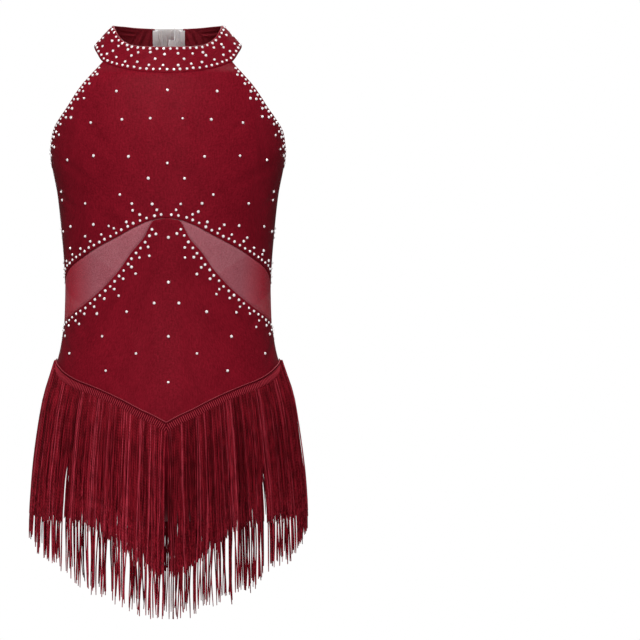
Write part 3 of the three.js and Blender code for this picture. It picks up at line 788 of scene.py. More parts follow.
def build_mesh_group() -> bpy.types.NodeTree:
    """Power mesh: rows of small staggered holes between knitted bars."""
    tree, g, source, sink = shader_group("power_mesh", [("Place", VECTOR, None), ("Pitch", FLOAT, 0.1),
        ("Cover", FLOAT, 0.5), ("Contrast", FLOAT, 0.3)], [("Height", FLOAT), ("Alpha", FLOAT),
        ("Mask", FLOAT)])
    parts = g.add("ShaderNodeSeparateXYZ", Vector=source["Place"])
    turn = g.math("DIVIDE", math.pi, source["Pitch"])
    a = g.math("MULTIPLY", g.math("ADD", parts.outputs[0], parts.outputs[1]), turn)
    b = g.math("MULTIPLY", g.math("SUBTRACT", parts.outputs[0], parts.outputs[1]), turn)
    bars = g.math("MAXIMUM", g.math("POWER", g.math("ABSOLUTE", g.math("COSINE", a)), 3.0),
        g.math("POWER", g.math("ABSOLUTE", g.math("COSINE", b)), 3.0))
    cloud = g.add("ShaderNodeTexNoise", Vector=source["Place"], Scale=8.0, Detail=5.0)
    uneven = g.math("MULTIPLY_ADD", g.math("SUBTRACT", cloud.outputs[0], 0.5), 0.8,
        g.math("MULTIPLY", g.math("SUBTRACT", bars, 0.5), source["Contrast"]))
    g.feed(sink["Height"], bars)
    g.feed(sink["Mask"], bars)
    g.feed(sink["Alpha"], g.math("ADD", source["Cover"], uneven, clamp=True))
    return tree


def build_tone_group() -> bpy.types.NodeTree:
    """Slow colour drift and fine flecks over a cloth or a moulding."""
    tree, g, source, sink = shader_group("dye_tone", [("Place", VECTOR, None),
        ("Light", COLOUR, (1.0, 1.0, 1.0)), ("Deep", COLOUR, (0.0, 0.0, 0.0)), ("Drift", FLOAT, 0.35),
        ("Fleck", FLOAT, 0.25), ("Scale", FLOAT, 1.0)], [("Colour", COLOUR), ("Mask", FLOAT)])
    place = source["Place"]
    slow = g.add("ShaderNodeTexNoise", Vector=place, Detail=3.0,
        Scale=g.math("MULTIPLY", source["Scale"], 0.35))
    fine = g.add("ShaderNodeTexNoise", Vector=place, Detail=4.0, Roughness=0.7,
        Scale=g.math("MULTIPLY", source["Scale"], 5.0))
    wide = g.add("ShaderNodeVectorMath", {"operation": "MULTIPLY"})
    g.feed(wide.inputs[0], place)
    wide.inputs[1].default_value = (9.0, 2.2, 2.2)
    streak = g.add("ShaderNodeTexNoise", Vector=wide.outputs[0], Detail=2.0,
        Scale=g.math("MULTIPLY", source["Scale"], 0.7))
    both = g.math("MULTIPLY_ADD", streak.outputs[0], 0.5, fine.outputs[0])
    drift = g.math("MULTIPLY", g.math("SUBTRACT", slow.outputs[0], 0.5), source["Drift"])
    fleck = g.math("MULTIPLY", g.math("SUBTRACT", both, 0.75), source["Fleck"])
    share = g.math("ADD", g.math("ADD", drift, fleck), 0.35, clamp=True)
    g.feed(sink["Colour"], g.mix(share, source["Light"], source["Deep"]))
    g.feed(sink["Mask"], share)
    return tree


def build_twist_group() -> bpy.types.NodeTree:
    """Twisted or chained cord: slanted ridges that run round a strand."""
    tree, g, source, sink = shader_group("cord_twist", [("Along", FLOAT, 0.0), ("Round", FLOAT, 0.0),
        ("Pitch", FLOAT, 0.0022)], [("Height", FLOAT), ("Mask", FLOAT)])
    turn = g.math("DIVIDE", source["Along"], source["Pitch"])
    phase = g.math("MULTIPLY", g.math("ADD", turn, g.math("MULTIPLY", source["Round"], 2.0)), 2 * math.pi)
    ridge = g.math("MULTIPLY_ADD", g.math("SINE", phase), 0.5, 0.5)
    g.feed(sink["Height"], ridge)
    g.feed(sink["Mask"], g.math("POWER", ridge, 2.0))
    return tree


KNIT = build_knit_group()
MESH_CLOTH = build_mesh_group()
TONE = build_tone_group()
TWIST = build_twist_group()


def new_material(name: str) -> tuple[Material, Graph, Node]:
    """Makes a material with an empty tree and a Principled shader.

    Args:
        name: Name of the material.

    Returns:
        The material, its graph and the shader.
    """
    material = bpy.data.materials.new(name)
    material.use_nodes = True
    material.node_tree.nodes.clear()
    graph = Graph(material.node_tree)
    output = graph.add("ShaderNodeOutputMaterial")
    shader = graph.add("ShaderNodeBsdfPrincipled")
    graph.feed(output.inputs["Surface"], shader.outputs["BSDF"])
    return material, graph, shader


def grouped(graph: Graph, tree: bpy.types.NodeTree, **inputs: object) -> bpy.types.NodeOutputs:
    """Places a shader group in a material.

    Args:
        graph: Graph of the material.
        tree: Group to place.
        inputs: Values or sockets for the group's inputs.

    Returns:
        What the group puts out.
    """
    node = graph.add("ShaderNodeGroup", {"node_tree": tree})
    for key, value in inputs.items():
        graph.feed(node.inputs[key], value)
    return node.outputs


def cloth_place(graph: Graph) -> Socket:
    """Flat cloth coordinates of a piece, in centimetres."""
    return graph.add("ShaderNodeUVMap", {"uv_map": "cloth"}).outputs["UV"]


def object_place(graph: Graph, scale: float) -> Socket:
    """Object coordinates, scaled."""
    place = graph.add("ShaderNodeTexCoord").outputs["Object"]
    node = graph.add("ShaderNodeVectorMath", {"operation": "SCALE"})
    graph.feed(node.inputs[0], place)
    node.inputs["Scale"].default_value = scale
    return node.outputs[0]


@dataclass(frozen=True)
class ClothFinish:
    """Dyed stretch cloth.

    Attributes:
        gloss: Strength of the plain reflection.
        sheen: Weight of the soft edge light.
        pitch: Size of the knit in centimetres.
        relief: Depth of the knit in metres.
        fleck: Strength of the fine flecks.
        uneven: Strength of the slow drift.
    """

    name: str
    light: Colour
    deep: Colour
    roughness: float = 0.42
    gloss: float = 0.032
    sheen: float = 0.015
    pitch: float = 0.09
    relief: float = 0.00025
    fleck: float = 1.7
    uneven: float = 0.6

    def material(self) -> Material:
        """Builds the material."""
        material, g, shader = new_material(self.name)
        place = cloth_place(g)
        tone = grouped(g, TONE, Place=place, Light=self.light, Deep=self.deep, Drift=self.uneven,
            Fleck=self.fleck)
        knit = grouped(g, KNIT, Place=place, Pitch=self.pitch)
        rough = g.span(knit["Mask"], 0.0, 1.0, self.roughness + 0.1, self.roughness - 0.06)
        g.fill(shader, Base_Color=tone["Colour"], Roughness=rough, Specular_IOR_Level=self.gloss,
            Sheen_Weight=self.sheen, Sheen_Roughness=0.3, Sheen_Tint=(0.9, 0.3, 0.36),
            Normal=g.bump(0.7, self.relief, knit["Height"]))
        return material


@dataclass(frozen=True)
class NetFinish:
    """Sheer power mesh.

    Attributes:
        painted_side_light: Redder, brighter colour painted beside the side seams, painted light for the
            sheer net seen at a glancing angle.
        cover: Share of the light that one face stops.
        pitch: Size of the mesh in centimetres.
    """

    name: str
    light: Colour
    deep: Colour
    painted_side_light: Colour
    cover: float = 0.62
    pitch: float = 0.1

    def material(self) -> Material:
        """Builds the material."""
        material, g, shader = new_material(self.name)
        place = cloth_place(g)
        side = g.add("ShaderNodeAttribute", {"attribute_name": "side"}).outputs["Fac"]
        # Redder and brighter towards the side seams: painted light for the net seen at a glancing angle.
        light = g.mix(g.span(side, 0.5, 0.76, 0.0, 1.0), self.light, self.painted_side_light)
        tone = grouped(g, TONE, Place=place, Light=light, Deep=self.deep, Drift=0.5, Fleck=2.0, Scale=1.5)
        net = grouped(g, MESH_CLOTH, Place=place, Pitch=self.pitch, Cover=self.cover, Contrast=0.3)
        g.fill(shader, Base_Color=tone["Colour"], Alpha=net["Alpha"], Roughness=0.6,
            Specular_IOR_Level=0.08, Sheen_Weight=0.12, Sheen_Tint=(1.0, 0.5, 0.56),
            Normal=g.bump(0.5, 0.0001, net["Height"]))
        return material


@dataclass(frozen=True)
class CordFinish:
    """Shiny chained cord of the fringe, or sewing thread.

    Attributes:
        light: Colour of the lighter strands.
        deep: Colour of the darkest strands, and painted shade in the twist's grooves.
        painted_highlight: Colour of the palest strands and of the lightened lower ends, a painted highlight
            of strands that catch the light.
        pitch: Length of one twist in metres.
        painted_glints: Strength of the glints painted along a strand as lighter and darker dashes.
    """

    name: str
    light: Colour
    deep: Colour
    painted_highlight: Colour
    roughness: float = 0.45
    pitch: float = 0.003
    painted_glints: float = 0.0

    def material(self) -> Material:
        """Builds the material."""
        material, g, shader = new_material(self.name)
        along, around, shade = (g.add("ShaderNodeAttribute", {"attribute_name": name}).outputs["Fac"]
            for name in ("along", "round", "shade"))
        turned = g.math("MULTIPLY_ADD", shade, 17.0, around)
        twist = grouped(g, TWIST, Along=along, Round=turned, Pitch=self.pitch)
        # Darker in the twist's grooves: painted shade between its ridges.
        dark = g.math("MULTIPLY_ADD", g.math("SUBTRACT", 1.0, twist["Mask"]), 0.42, shade)
        # Lighter and darker dashes along each strand: painted glints of loops that catch the light.
        stretch = g.add("ShaderNodeCombineXYZ", X=g.math("MULTIPLY", along, 70.0),
            Y=g.math("MULTIPLY", shade, 60.0)).outputs[0]
        painted_glints = g.add("ShaderNodeTexNoise", Vector=stretch, Scale=1.0, Detail=1.0)
        dark = g.math("ADD", dark, g.span(painted_glints.outputs[0], 0.36, 0.64, -self.painted_glints, self.painted_glints),
            clamp=True)
        # The palest strands and the lightened lower ends take the painted highlight colour.
        light = g.mix(g.span(shade, 0.0, 0.22, 1.0, 0.0), self.light, self.painted_highlight)
        rough = g.span(twist["Mask"], 0.0, 1.0, self.roughness + 0.12, self.roughness)
        g.fill(shader, Base_Color=g.mix(dark, light, self.deep), Roughness=rough, Specular_IOR_Level=0.05,
            Sheen_Weight=0.015, Sheen_Tint=(1.0, 0.55, 0.6), Normal=g.bump(0.8, 0.0003, twist["Height"]))
        return material


@dataclass(frozen=True)
class GemFinish:
    """Foil-backed cut stone, painted near white with a faint glow: painted glints of its facets."""

    name: str
    light: Colour
    deep: Colour

    def material(self) -> Material:
        """Builds the material."""
        material, g, shader = new_material(self.name)
        tone = grouped(g, TONE, Place=object_place(g, 300.0), Light=self.light, Deep=self.deep, Drift=0.6,
            Fleck=0.3)
        # Near-white base and a weak glow: painted glints of the facets.
        g.fill(shader, Base_Color=tone["Colour"], Roughness=0.12, IOR=1.6, Coat_Weight=0.6,
            Coat_Roughness=0.03, Emission_Color=(1.0, 0.95, 0.97), Emission_Strength=0.22)
        return material


@dataclass(frozen=True)
class PlasticFinish:
    """Milky moulded plastic with a faint flow texture."""

    name: str
    light: Colour
    deep: Colour

    def material(self) -> Material:
        """Builds the material."""
        material, g, shader = new_material(self.name)
        place = object_place(g, 100.0)
        tone = grouped(g, TONE, Place=place, Light=self.light, Deep=self.deep, Drift=0.5, Fleck=0.2)
        grain = g.add("ShaderNodeTexNoise", Vector=place, Scale=4.0, Detail=3.0).outputs[0]
        g.fill(shader, Base_Color=tone["Colour"], Roughness=g.span(tone["Mask"], 0.2, 0.6, 0.26, 0.42),
            Subsurface_Weight=0.25, Subsurface_Radius=(0.003, 0.003, 0.0028),
            Normal=g.bump(0.3, 0.0001, grain))
        return material


SATIN = ClothFinish("wine_satin", (0.285, 0.0085, 0.022), (0.11, 0.0025, 0.0072))
# Matte wrong side of the satin, painted lighter and pinker than the face: painted light for the inside
# faces, which lie in shade.
SATIN_INSIDE_PAINTED_LIGHT = ClothFinish("wine_satin_inside_painted_light", (0.36, 0.026, 0.042), (0.17, 0.012, 0.02), roughness=0.75,
    gloss=0.04, sheen=0.02)
TRIM = ClothFinish("wine_trim", (0.23, 0.006, 0.018), (0.11, 0.0025, 0.008), roughness=0.4, pitch=0.07)
# The net's third colour is painted light beside the side seams.
NET = NetFinish("wine_power_mesh", (0.66, 0.20, 0.25), (0.34, 0.06, 0.085), (0.8, 0.022, 0.055))
FRINGE = CordFinish("wine_fringe", (0.47, 0.016, 0.035), (0.085, 0.0018, 0.0046), (0.66, 0.055, 0.09),
    painted_glints=0.24)
THREAD = CordFinish("wine_thread", (0.38, 0.04, 0.06), (0.2, 0.012, 0.023), (0.38, 0.04, 0.06),
    roughness=0.4)
RIB_YARN = CordFinish("wine_rib", (0.53, 0.04, 0.066), (0.27, 0.01, 0.02), (0.56, 0.048, 0.075),
    roughness=0.5)
# Tape's wine painted much darker than the satin: painted shade for the gaps between its raised ribs.
TAPE_BASE_PAINTED_SHADE = ClothFinish("wine_tape", (0.13, 0.004, 0.0105), (0.07, 0.0015, 0.005), roughness=0.6)
EDGE_YARN = CordFinish("wine_edge", (0.50, 0.06, 0.085), (0.3, 0.03, 0.045), (0.52, 0.065, 0.09),
    roughness=0.5)
GEM = GemFinish("clear_stone", (1.0, 0.98, 0.985), (0.88, 0.84, 0.86))
PLASTIC = PlasticFinish("milky_plastic", (0.96, 0.955, 0.95), (0.82, 0.81, 0.80))


@lru_cache(maxsize=None)
def material_of(finish: object) -> Material:
    """Material of a finish, built on its first use and kept."""
    return finish.material()


def dress(obj: Object, *finishes: object) -> None:
    """Gives an object its materials."""
    for finish in finishes:
        obj.data.materials.append(material_of(finish))
    if len(finishes) == 1:
        obj.data.polygons.foreach_set("material_index", [0] * len(obj.data.polygons))


# Geometry Nodes. A tree comes with the identifiers of its inputs.
Tree = tuple[bpy.types.NodeTree, dict[str, str]]


def geometry_tree(
    name: str, inputs: Sequence[tuple[str, str, object]]
) -> tuple[Tree, Graph, bpy.types.NodeOutputs, Socket]:
    """Makes an empty Geometry Nodes tree.

    Args:
        name: Name of the tree.
        inputs: Name, socket type and default value of each input after the geometry.

    Returns:
        The tree with the identifier of each input, its graph, the sockets that come in, and the
        socket that takes the result.
    """
    tree = bpy.data.node_groups.new(name, "GeometryNodeTree")
    for way in ("INPUT", "OUTPUT"):
        tree.interface.new_socket("Geometry", in_out=way, socket_type="NodeSocketGeometry")
    identifiers = {}
    for label, kind, value in (*inputs, ("Material", "NodeSocketMaterial", None)):
        socket = tree.interface.new_socket(label, in_out="INPUT", socket_type=kind)
        if value is not None:
            socket.default_value = value
        identifiers[label] = socket.identifier
    g = Graph(tree)
    return (tree, identifiers), g, g.add("NodeGroupInput").outputs, g.add("NodeGroupOutput").inputs[0]


class Repeat(Enum):
    """Small shapes that are repeated over the garment."""

    STONE = "stone"
    STITCH = "stitch"
    RIB = "rib"


def repeat_shape(g: Graph, source: bpy.types.NodeOutputs, kind: Repeat) -> Socket:
    """Adds the nodes of one repeated shape.

    Args:
        g: Graph of the tree.
        source: Sockets that come in, with Length, Width and Height.
        kind: Which shape.

    Returns:
        Geometry of the shape, lying along X with its face along Z.
    """
    if kind is Repeat.STONE:
        mesh = g.add("GeometryNodeMeshCone", {"fill_type": "NGON"}, Vertices=8, Radius_Top=0.29,
            Radius_Bottom=0.5, Depth=1.0)
    else:
        segments, rings = (8, 6) if kind is Repeat.RIB else (6, 4)
        mesh = g.add("GeometryNodeMeshUVSphere", Segments=segments, Rings=rings, Radius=0.5)
    size = g.add("ShaderNodeCombineXYZ", X=source["Length"], Y=source["Width"], Z=source["Height"])
    scaled = g.add("GeometryNodeTransform", Geometry=mesh.outputs["Mesh"], Scale=size.outputs[0])
    if kind is Repeat.STONE:
        return scaled.outputs[0]
    return g.add("GeometryNodeSetShadeSmooth", Geometry=scaled.outputs[0]).outputs[0]


def build_scatter_tree(kind: Repeat) -> Tree:
    """Puts one small shape on every point, turned by the point's own attribute.

    Args:
        kind: Which shape.

    Returns:
        The tree and the identifiers of its inputs.
    """
    tree, g, source, result = geometry_tree(f"scatter_{kind.value}", [("Length", FLOAT, 0.003),
        ("Width", FLOAT, 0.003), ("Height", FLOAT, 0.001)])
    rotation = g.add("FunctionNodeEulerToRotation", Euler=g.named("turn", "FLOAT_VECTOR"))
    points = g.add("GeometryNodeMeshToPoints", Mesh=source["Geometry"])
    placed = g.add("GeometryNodeInstanceOnPoints", Points=points.outputs[0],
        Instance=repeat_shape(g, source, kind), Rotation=rotation.outputs[0], Scale=g.named("size"))
    g.feed(result, g.paint(placed.outputs[0], source["Material"]))
    return tree


def build_strand_tree() -> Tree:
    """Turns loose edges into round strands, with attributes for their twist.

    Returns:
        The tree and the identifiers of its inputs.
    """
    tree, g, source, result = geometry_tree("strands", [("Radius", FLOAT, 0.00075),
        ("Sides", "NodeSocketInt", 5)])
    curves = g.add("GeometryNodeMeshToCurve", Mesh=source["Geometry"])
    spline = g.add("GeometryNodeSplineParameter")
    measured = g.store(curves.outputs[0], "along", spline.outputs["Length"])
    radius = g.math("MULTIPLY", g.named("thick"), source["Radius"])
    circle = g.add("GeometryNodeCurvePrimitiveCircle", Resolution=source["Sides"], Radius=1.0)
    round_share = g.add("GeometryNodeSplineParameter")
    profile = g.store(circle.outputs["Curve"], "round", round_share.outputs["Factor"])
    strands = g.add("GeometryNodeCurveToMesh", Curve=measured, Profile_Curve=profile, Scale=radius,
        Fill_Caps=True)
    g.feed(result, g.paint(strands.outputs[0], source["Material"]))
    return tree


TREES = {kind: build_scatter_tree(kind) for kind in Repeat}
STRAND_TREE = build_strand_tree()


def grown(obj: Object, tree: Tree, values: dict[str, object]) -> Object:
    """Runs a Geometry Nodes tree on an object and keeps the result as its plain mesh.

    Args:
        obj: Object with the points or edges.
        tree: Tree and the identifiers of its inputs.
        values: Values of the named inputs.

    Returns:
        The same object with its final mesh.
    """
    modifier = obj.modifiers.new("grow", "NODES")
    modifier.node_group = tree[0]
    for label, value in values.items():
        modifier[tree[1][label]] = value
    graph = bpy.context.evaluated_depsgraph_get()
    mesh = bpy.data.meshes.new_from_object(obj.evaluated_get(graph), preserve_all_data_layers=True,
        depsgraph=graph)
    obj.modifiers.remove(modifier)
    old = obj.data
    obj.data = mesh
    mesh.name = obj.name
    bpy.data.meshes.remove(old)
    return obj


def frames_to_turns(along: Array, facing: Array) -> Array:
    """Euler turns that lay X along one direction and Z along another.

    Args:
        along: Directions of X.
        facing: Directions of Z.

    Returns:
        One Euler turn for each place.
    """
    turns = []
    for x, z in zip(unit(along), unit(facing)):
        y = np.cross(z, x)
        y = y / max(float(np.linalg.norm(y)), 1e-9)
        x = np.cross(y, z)
        matrix = Matrix((tuple(x), tuple(y), tuple(z))).transposed()
        turns.append(tuple(matrix.to_euler()))
    return np.array(turns)


@dataclass
class Spots:
    """Places for a repeated shape: middles, directions of length and of face, and scales."""

    points: list[Array] = field(default_factory=list)
    along: list[Array] = field(default_factory=list)
    facing: list[Array] = field(default_factory=list)
    size: list[Array] = field(default_factory=list)

    def put(self, points: Array, along: Array, facing: Array, size: float | Array = 1.0) -> None:
        """Adds places."""
        self.points.append(np.atleast_2d(points))
        self.along.append(np.atleast_2d(along))
        self.facing.append(np.atleast_2d(facing))
        self.size.append(np.broadcast_to(size, len(self.points[-1])).astype(float))

    def scatter(self, name: str, kind: Repeat, sizes: tuple[float, float, float], finish: object) -> Object:
        """Makes one joined mesh with the shape at every place.

        Args:
            name: Name of the piece.
            kind: Which shape.
            sizes: Length, width and height in millimetres.
            finish: Finish of the piece.

        Returns:
            The object.
        """
        points, along, facing, size = map(np.concatenate, (self.points, self.along, self.facing, self.size))
        obj = make_mesh(name, points, smooth=False)
        add_attribute(obj, "turn", frames_to_turns(along, facing))
        add_attribute(obj, "size", size)
        LOG.info("%s: %d places", name, len(points))
        values = dict(zip(("Length", "Width", "Height"), (value * MM for value in sizes)))
        return grown(obj, TREES[kind], {**values, "Material": material_of(finish)})


def even_share(points: Array, pitch: float, start: float = 0.5) -> Array:
    """Shares a line out into steps of about one length.

    Args:
        points: Points along the line.
        pitch: Length of a step in millimetres.
        start: Place of the first step, in steps below one.

    Returns:
        Index and fraction along the line's points, as one float for each step.
    """
    way = travelled(points)
    count = max(1, int(round(way[-1] / pitch)))
    goals = (np.arange(count) + start) * way[-1] / count
    return np.interp(goals, way, np.arange(len(points)))


def along_line(values: Array, place: Array) -> Array:
    """Values of a line at fractional indices."""
    index = np.arange(len(values))
    if values.ndim == 1:
        return np.interp(place, index, values)
    return np.stack([np.interp(place, index, values[:, k]) for k in range(values.shape[1])], -1)


def front_top(angle: Array) -> Array:
    """Upper edge of the front: the collar seam, then the armhole."""
    near = np.clip(angle, -FRONT_CORNER[0], FRONT_CORNER[0])
    return np.where(np.abs(angle) <= FRONT_CORNER[0], FORM.collar_seam(Side.FRONT, near),
        ARMHOLE_FRONT(angle))


def back_top(angle: Array) -> Array:
    """Upper edge of the back: the collar seam, then the armhole."""
    near = np.clip(angle, -BACK_CORNER[0], BACK_CORNER[0])
    return np.where(np.abs(angle) <= BACK_CORNER[0], FORM.collar_seam(Side.BACK, near), ARMHOLE_BACK(angle))


def back_net_top(angle: Array) -> Array:
    """Upper edge of the back net, under the middle of the armhole binding."""
    drop = FORM.drop(Side.BACK, ARMHOLE_BACK, angle, 0.5 * ARMHOLE_BINDING_WIDTH)
    return np.minimum(back_top(angle), ARMHOLE_BACK(angle) - drop)


def keyhole_outline() -> Array:
    """Inner edge of the keyhole binding, from collar to collar.

    Returns:
        Rows of X and height in millimetres.
    """
    half = np.array(KEYHOLE, dtype=float)
    whole = np.concatenate([half, half[-2::-1] * (-1, 1)])
    chord = np.sqrt(np.linalg.norm(np.diff(whole, axis=0), axis=1))
    knots = np.concatenate([[0], np.cumsum(chord)])
    fine = np.linspace(0, knots[-1], 220)
    tangent = np.gradient(whole, knots, axis=0)
    i = np.clip(np.searchsorted(knots, fine, side="right") - 1, 0, len(knots) - 2)
    width = (knots[i + 1] - knots[i])[:, None]
    t = (fine - knots[i])[:, None] / width
    return (whole[i] * (2 * t ** 3 - 3 * t ** 2 + 1) + whole[i + 1] * (3 * t ** 2 - 2 * t ** 3)
        + tangent[i] * width * (t ** 3 - 2 * t ** 2 + t) + tangent[i + 1] * width * (t ** 3 - t ** 2))


def inside_keyhole(points: Array) -> Array:
    """Tells which back points lie in the keyhole, widened to run under its binding."""
    widen = 3.2
    x, z = np.abs(points[..., 0]), points[..., 2]
    low = KEYHOLE[-1][1]
    width = KEYHOLE_WIDTH(np.maximum(z, low)) + widen * 1.08
    round_foot = np.hypot(x / 20.0, np.clip(low + 12 - z, 0, None) / (12 + widen))
    return (z > low - widen) & (x < width) & ((z > low + 6) | (round_foot < 1.0))


def edge_path(side: Side, line: Line, limits: tuple[float, float], count: int) -> tuple[Array, Array]:
    """Angles and heights along a seam.

    Args:
        side: Front or back.
        line: Height at an angle.
        limits: First and last angle.
        count: Number of points.

    Returns:
        Angles and heights, evenly spaced along the seam.
    """
    angle = np.linspace(limits[0], limits[1], 4 * count)
    way = travelled(FORM.point(side, angle, line(angle)))
    even = np.interp(np.linspace(0, way[-1], count), way, angle)
    return even, line(even)


@dataclass(frozen=True)
class BandShape:
    """Cross section of a folded strip on the form, with the height and depth of its faces."""

    width: float
    rise: float
    back: float
    across: int = 9

    def section(self) -> tuple[Array, Array]:
        """Breadthwise place and height of the section's points, going once round."""
        t = np.linspace(0, 1, self.across)
        crown = np.sqrt(np.clip(1 - (2 * t - 1) ** 6, 0, 1))
        outer = self.rise * crown - 0.1
        inner = -self.back * crown[::-1] - 0.1
        breadth = np.concatenate([t, t[::-1][1:-1]]) * self.width
        return breadth, np.concatenate([outer, inner[1:-1]])


def declare(obj: Object, nodes: Sequence[str] = (), flat: Optional[tuple[float, float]] = None,
        area: Optional[float] = None) -> None:
    """Hangs a finished piece on the root body, hides the solids that it stands for, and logs it.

    Args:
        obj: Finished piece.
        nodes: Solids that it stands for.
        flat: Width and length of the cut, for a sheet of cloth.
        area: Area of the cut.
    """
    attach(obj, ROOT)
    if nodes:
        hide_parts(*nodes)
    if flat is not None:
        LOG.info("%s: cut %.0f x %.0f mm, %.4f m2", obj.name, flat[0] / MM, flat[1] / MM, area or 0)
    triangles = sum(len(face.vertices) - 2 for face in obj.data.polygons)
    LOG.info("%s: %d triangles", obj.name, triangles)


# Folds of the satin, by angle and height of both ends, half breadth, depth and bow.
BODICE_CREASES = creases(((0, -58), (1, -168), 6.5, 1.1, 0.6), ((-6, -66), (-12, -128), 4.2, -0.5, 1.0),
    ((8, -64), (14, -120), 4.0, -0.45, -1.0), ((-50, -78), (-22, -128), 5.0, 0.6, 3.0),
    ((47, -74), (24, -120), 4.6, 0.5, -3.0), ((-66, -120), (-40, -148), 4.0, 0.55, 2.0),
    ((69, -126), (36, -150), 4.4, 0.6, -2.0), ((-82, -150), (-56, -172), 3.6, 0.6, -1.5),
    ((80, -140), (60, -176), 3.8, 0.5, 1.5), ((-34, -160), (-12, -190), 4.6, 0.5, 2.0),
    ((30, -158), (14, -184), 4.2, 0.4, -1.6), ((-84, -110), (-78, -140), 3.0, 0.4, 0.6))
LOWER_CREASES = creases(((-80, -272), (-46, -306), 4.2, 0.6, 2.0), ((78, -268), (50, -300), 3.8, 0.5, -2.0),
    ((-84, -300), (-58, -336), 4.6, 0.55, 1.6), ((82, -310), (60, -340), 4.0, 0.6, -1.6),
    ((-2, -262), (3, -352), 6.0, 0.6, 1.0), ((-40, -330), (-14, -374), 5.0, 0.45, 2.5),
    ((44, -326), (20, -372), 5.2, 0.5, -2.5), ((-70, -352), (-34, -388), 4.4, 0.5, 1.8),
    ((66, -356), (38, -390), 4.2, 0.45, -1.8), ((-26, -286), (-14, -330), 4.4, -0.4, 0.8),
    ((24, -282), (16, -322), 4.0, -0.35, -0.8), ((-20, -412), (-8, -470), 4.4, 0.6, 1.0),
    ((22, -418), (9, -476), 4.0, 0.5, -1.0), ((0, -400), (0, -452), 4.6, 0.5, 0.8))
BAND_CREASES = creases(((-84, -196), (-56, -214), 3.6, 0.5, 1.0), ((82, -190), (60, -212), 3.4, 0.45, -1.0),
    ((-36, -226), (-12, -250), 4.4, 0.45, 1.5), ((32, -230), (10, -254), 4.2, 0.4, -1.5),
    ((0, -222), (0, -276), 5.4, 0.5, 0.6))
SEAT_CREASES = creases(((0, -306), (0, -420), 6.0, 0.8, 0.8), ((-66, -312), (-30, -340), 4.6, 0.5, 2.0),
    ((70, -318), (34, -344), 4.4, 0.55, -2.0), ((-50, -352), (-16, -384), 5.0, 0.45, 2.4),
    ((46, -356), (18, -382), 4.8, 0.5, -2.4), ((-80, -330), (-58, -362), 3.8, 0.5, 1.2),
    ((78, -336), (60, -360), 3.6, 0.45, -1.2), ((-14, -410), (-6, -470), 4.2, 0.55, 0.8),
    ((16, -406), (7, -462), 4.4, 0.5, -0.8))

# Creases of the collar, and the folds of its inner face beside the clasp and at the sides.
COLLAR_CREASES = creases(((-168, 4), (-146, 9), 1.8, 0.85, 1.0), ((-169, 14), (-142, 14), 2.0, 0.9, -0.8),
    ((-168, 21), (-147, 19), 1.6, 0.75, 0.8), ((-166, 9), (-148, 11.5), 1.3, -0.6, 0.6),
    ((-163, 26), (-138, 24), 1.7, 0.5, 0.9), ((167, 5), (145, 11), 1.8, 0.8, -1.0),
    ((169, 13), (141, 16), 2.0, 0.95, 0.7), ((167, 23), (146, 20), 1.6, 0.75, -0.8),
    ((166, 18), (150, 18), 1.3, -0.6, -0.6), ((150, 4), (128, 7), 1.8, 0.35, 0.8),
    ((-96, 8), (-74, 13), 2.6, 0.4, 1.2), ((84, 20), (104, 14), 2.4, 0.35, -1.0),
    ((-58, 20), (-44, 10), 2.4, 0.25, 1.0), ((50, 9), (66, 21), 2.6, 0.3, 1.0),
    ((-28, 4), (-22, 26), 3.0, 0.3, 0.6), ((16, 4), (22, 26), 3.0, 0.28, -0.6))
COLLAR_FOLDS = creases(((161, 1), (162, 29), 1.4, 0.9, 0.3), ((157, 2), (158, 29), 1.2, -0.7, 0.3),
    ((153, 1), (153.5, 28), 1.6, 0.8, -0.4), ((148, 3), (149, 27), 1.5, -0.55, 0.4),
    ((-161.5, 1), (-161, 29), 1.4, 0.85, 0.3), ((-157, 1), (-157.5, 28), 1.3, -0.7, -0.3),
    ((-152.5, 3), (-153, 29), 1.5, 0.7, 0.4), ((-147, 2), (-148.5, 26), 1.6, -0.5, -0.4),
    ((147, 22.5), (117, 23.5), 1.1, -1.1, 0.3), ((146, 19.6), (120, 20.5), 1.5, 0.7, 0.3),
    ((-146, 22.5), (-118, 23.8), 1.1, -1.1, -0.3), ((-147, 19.6), (-119, 20.6), 1.5, 0.7, -0.3),
    ((-100, 9), (-80, 12), 2.2, 0.5, 0.8), ((78, 14), (104, 10), 2.4, 0.5, -0.8))


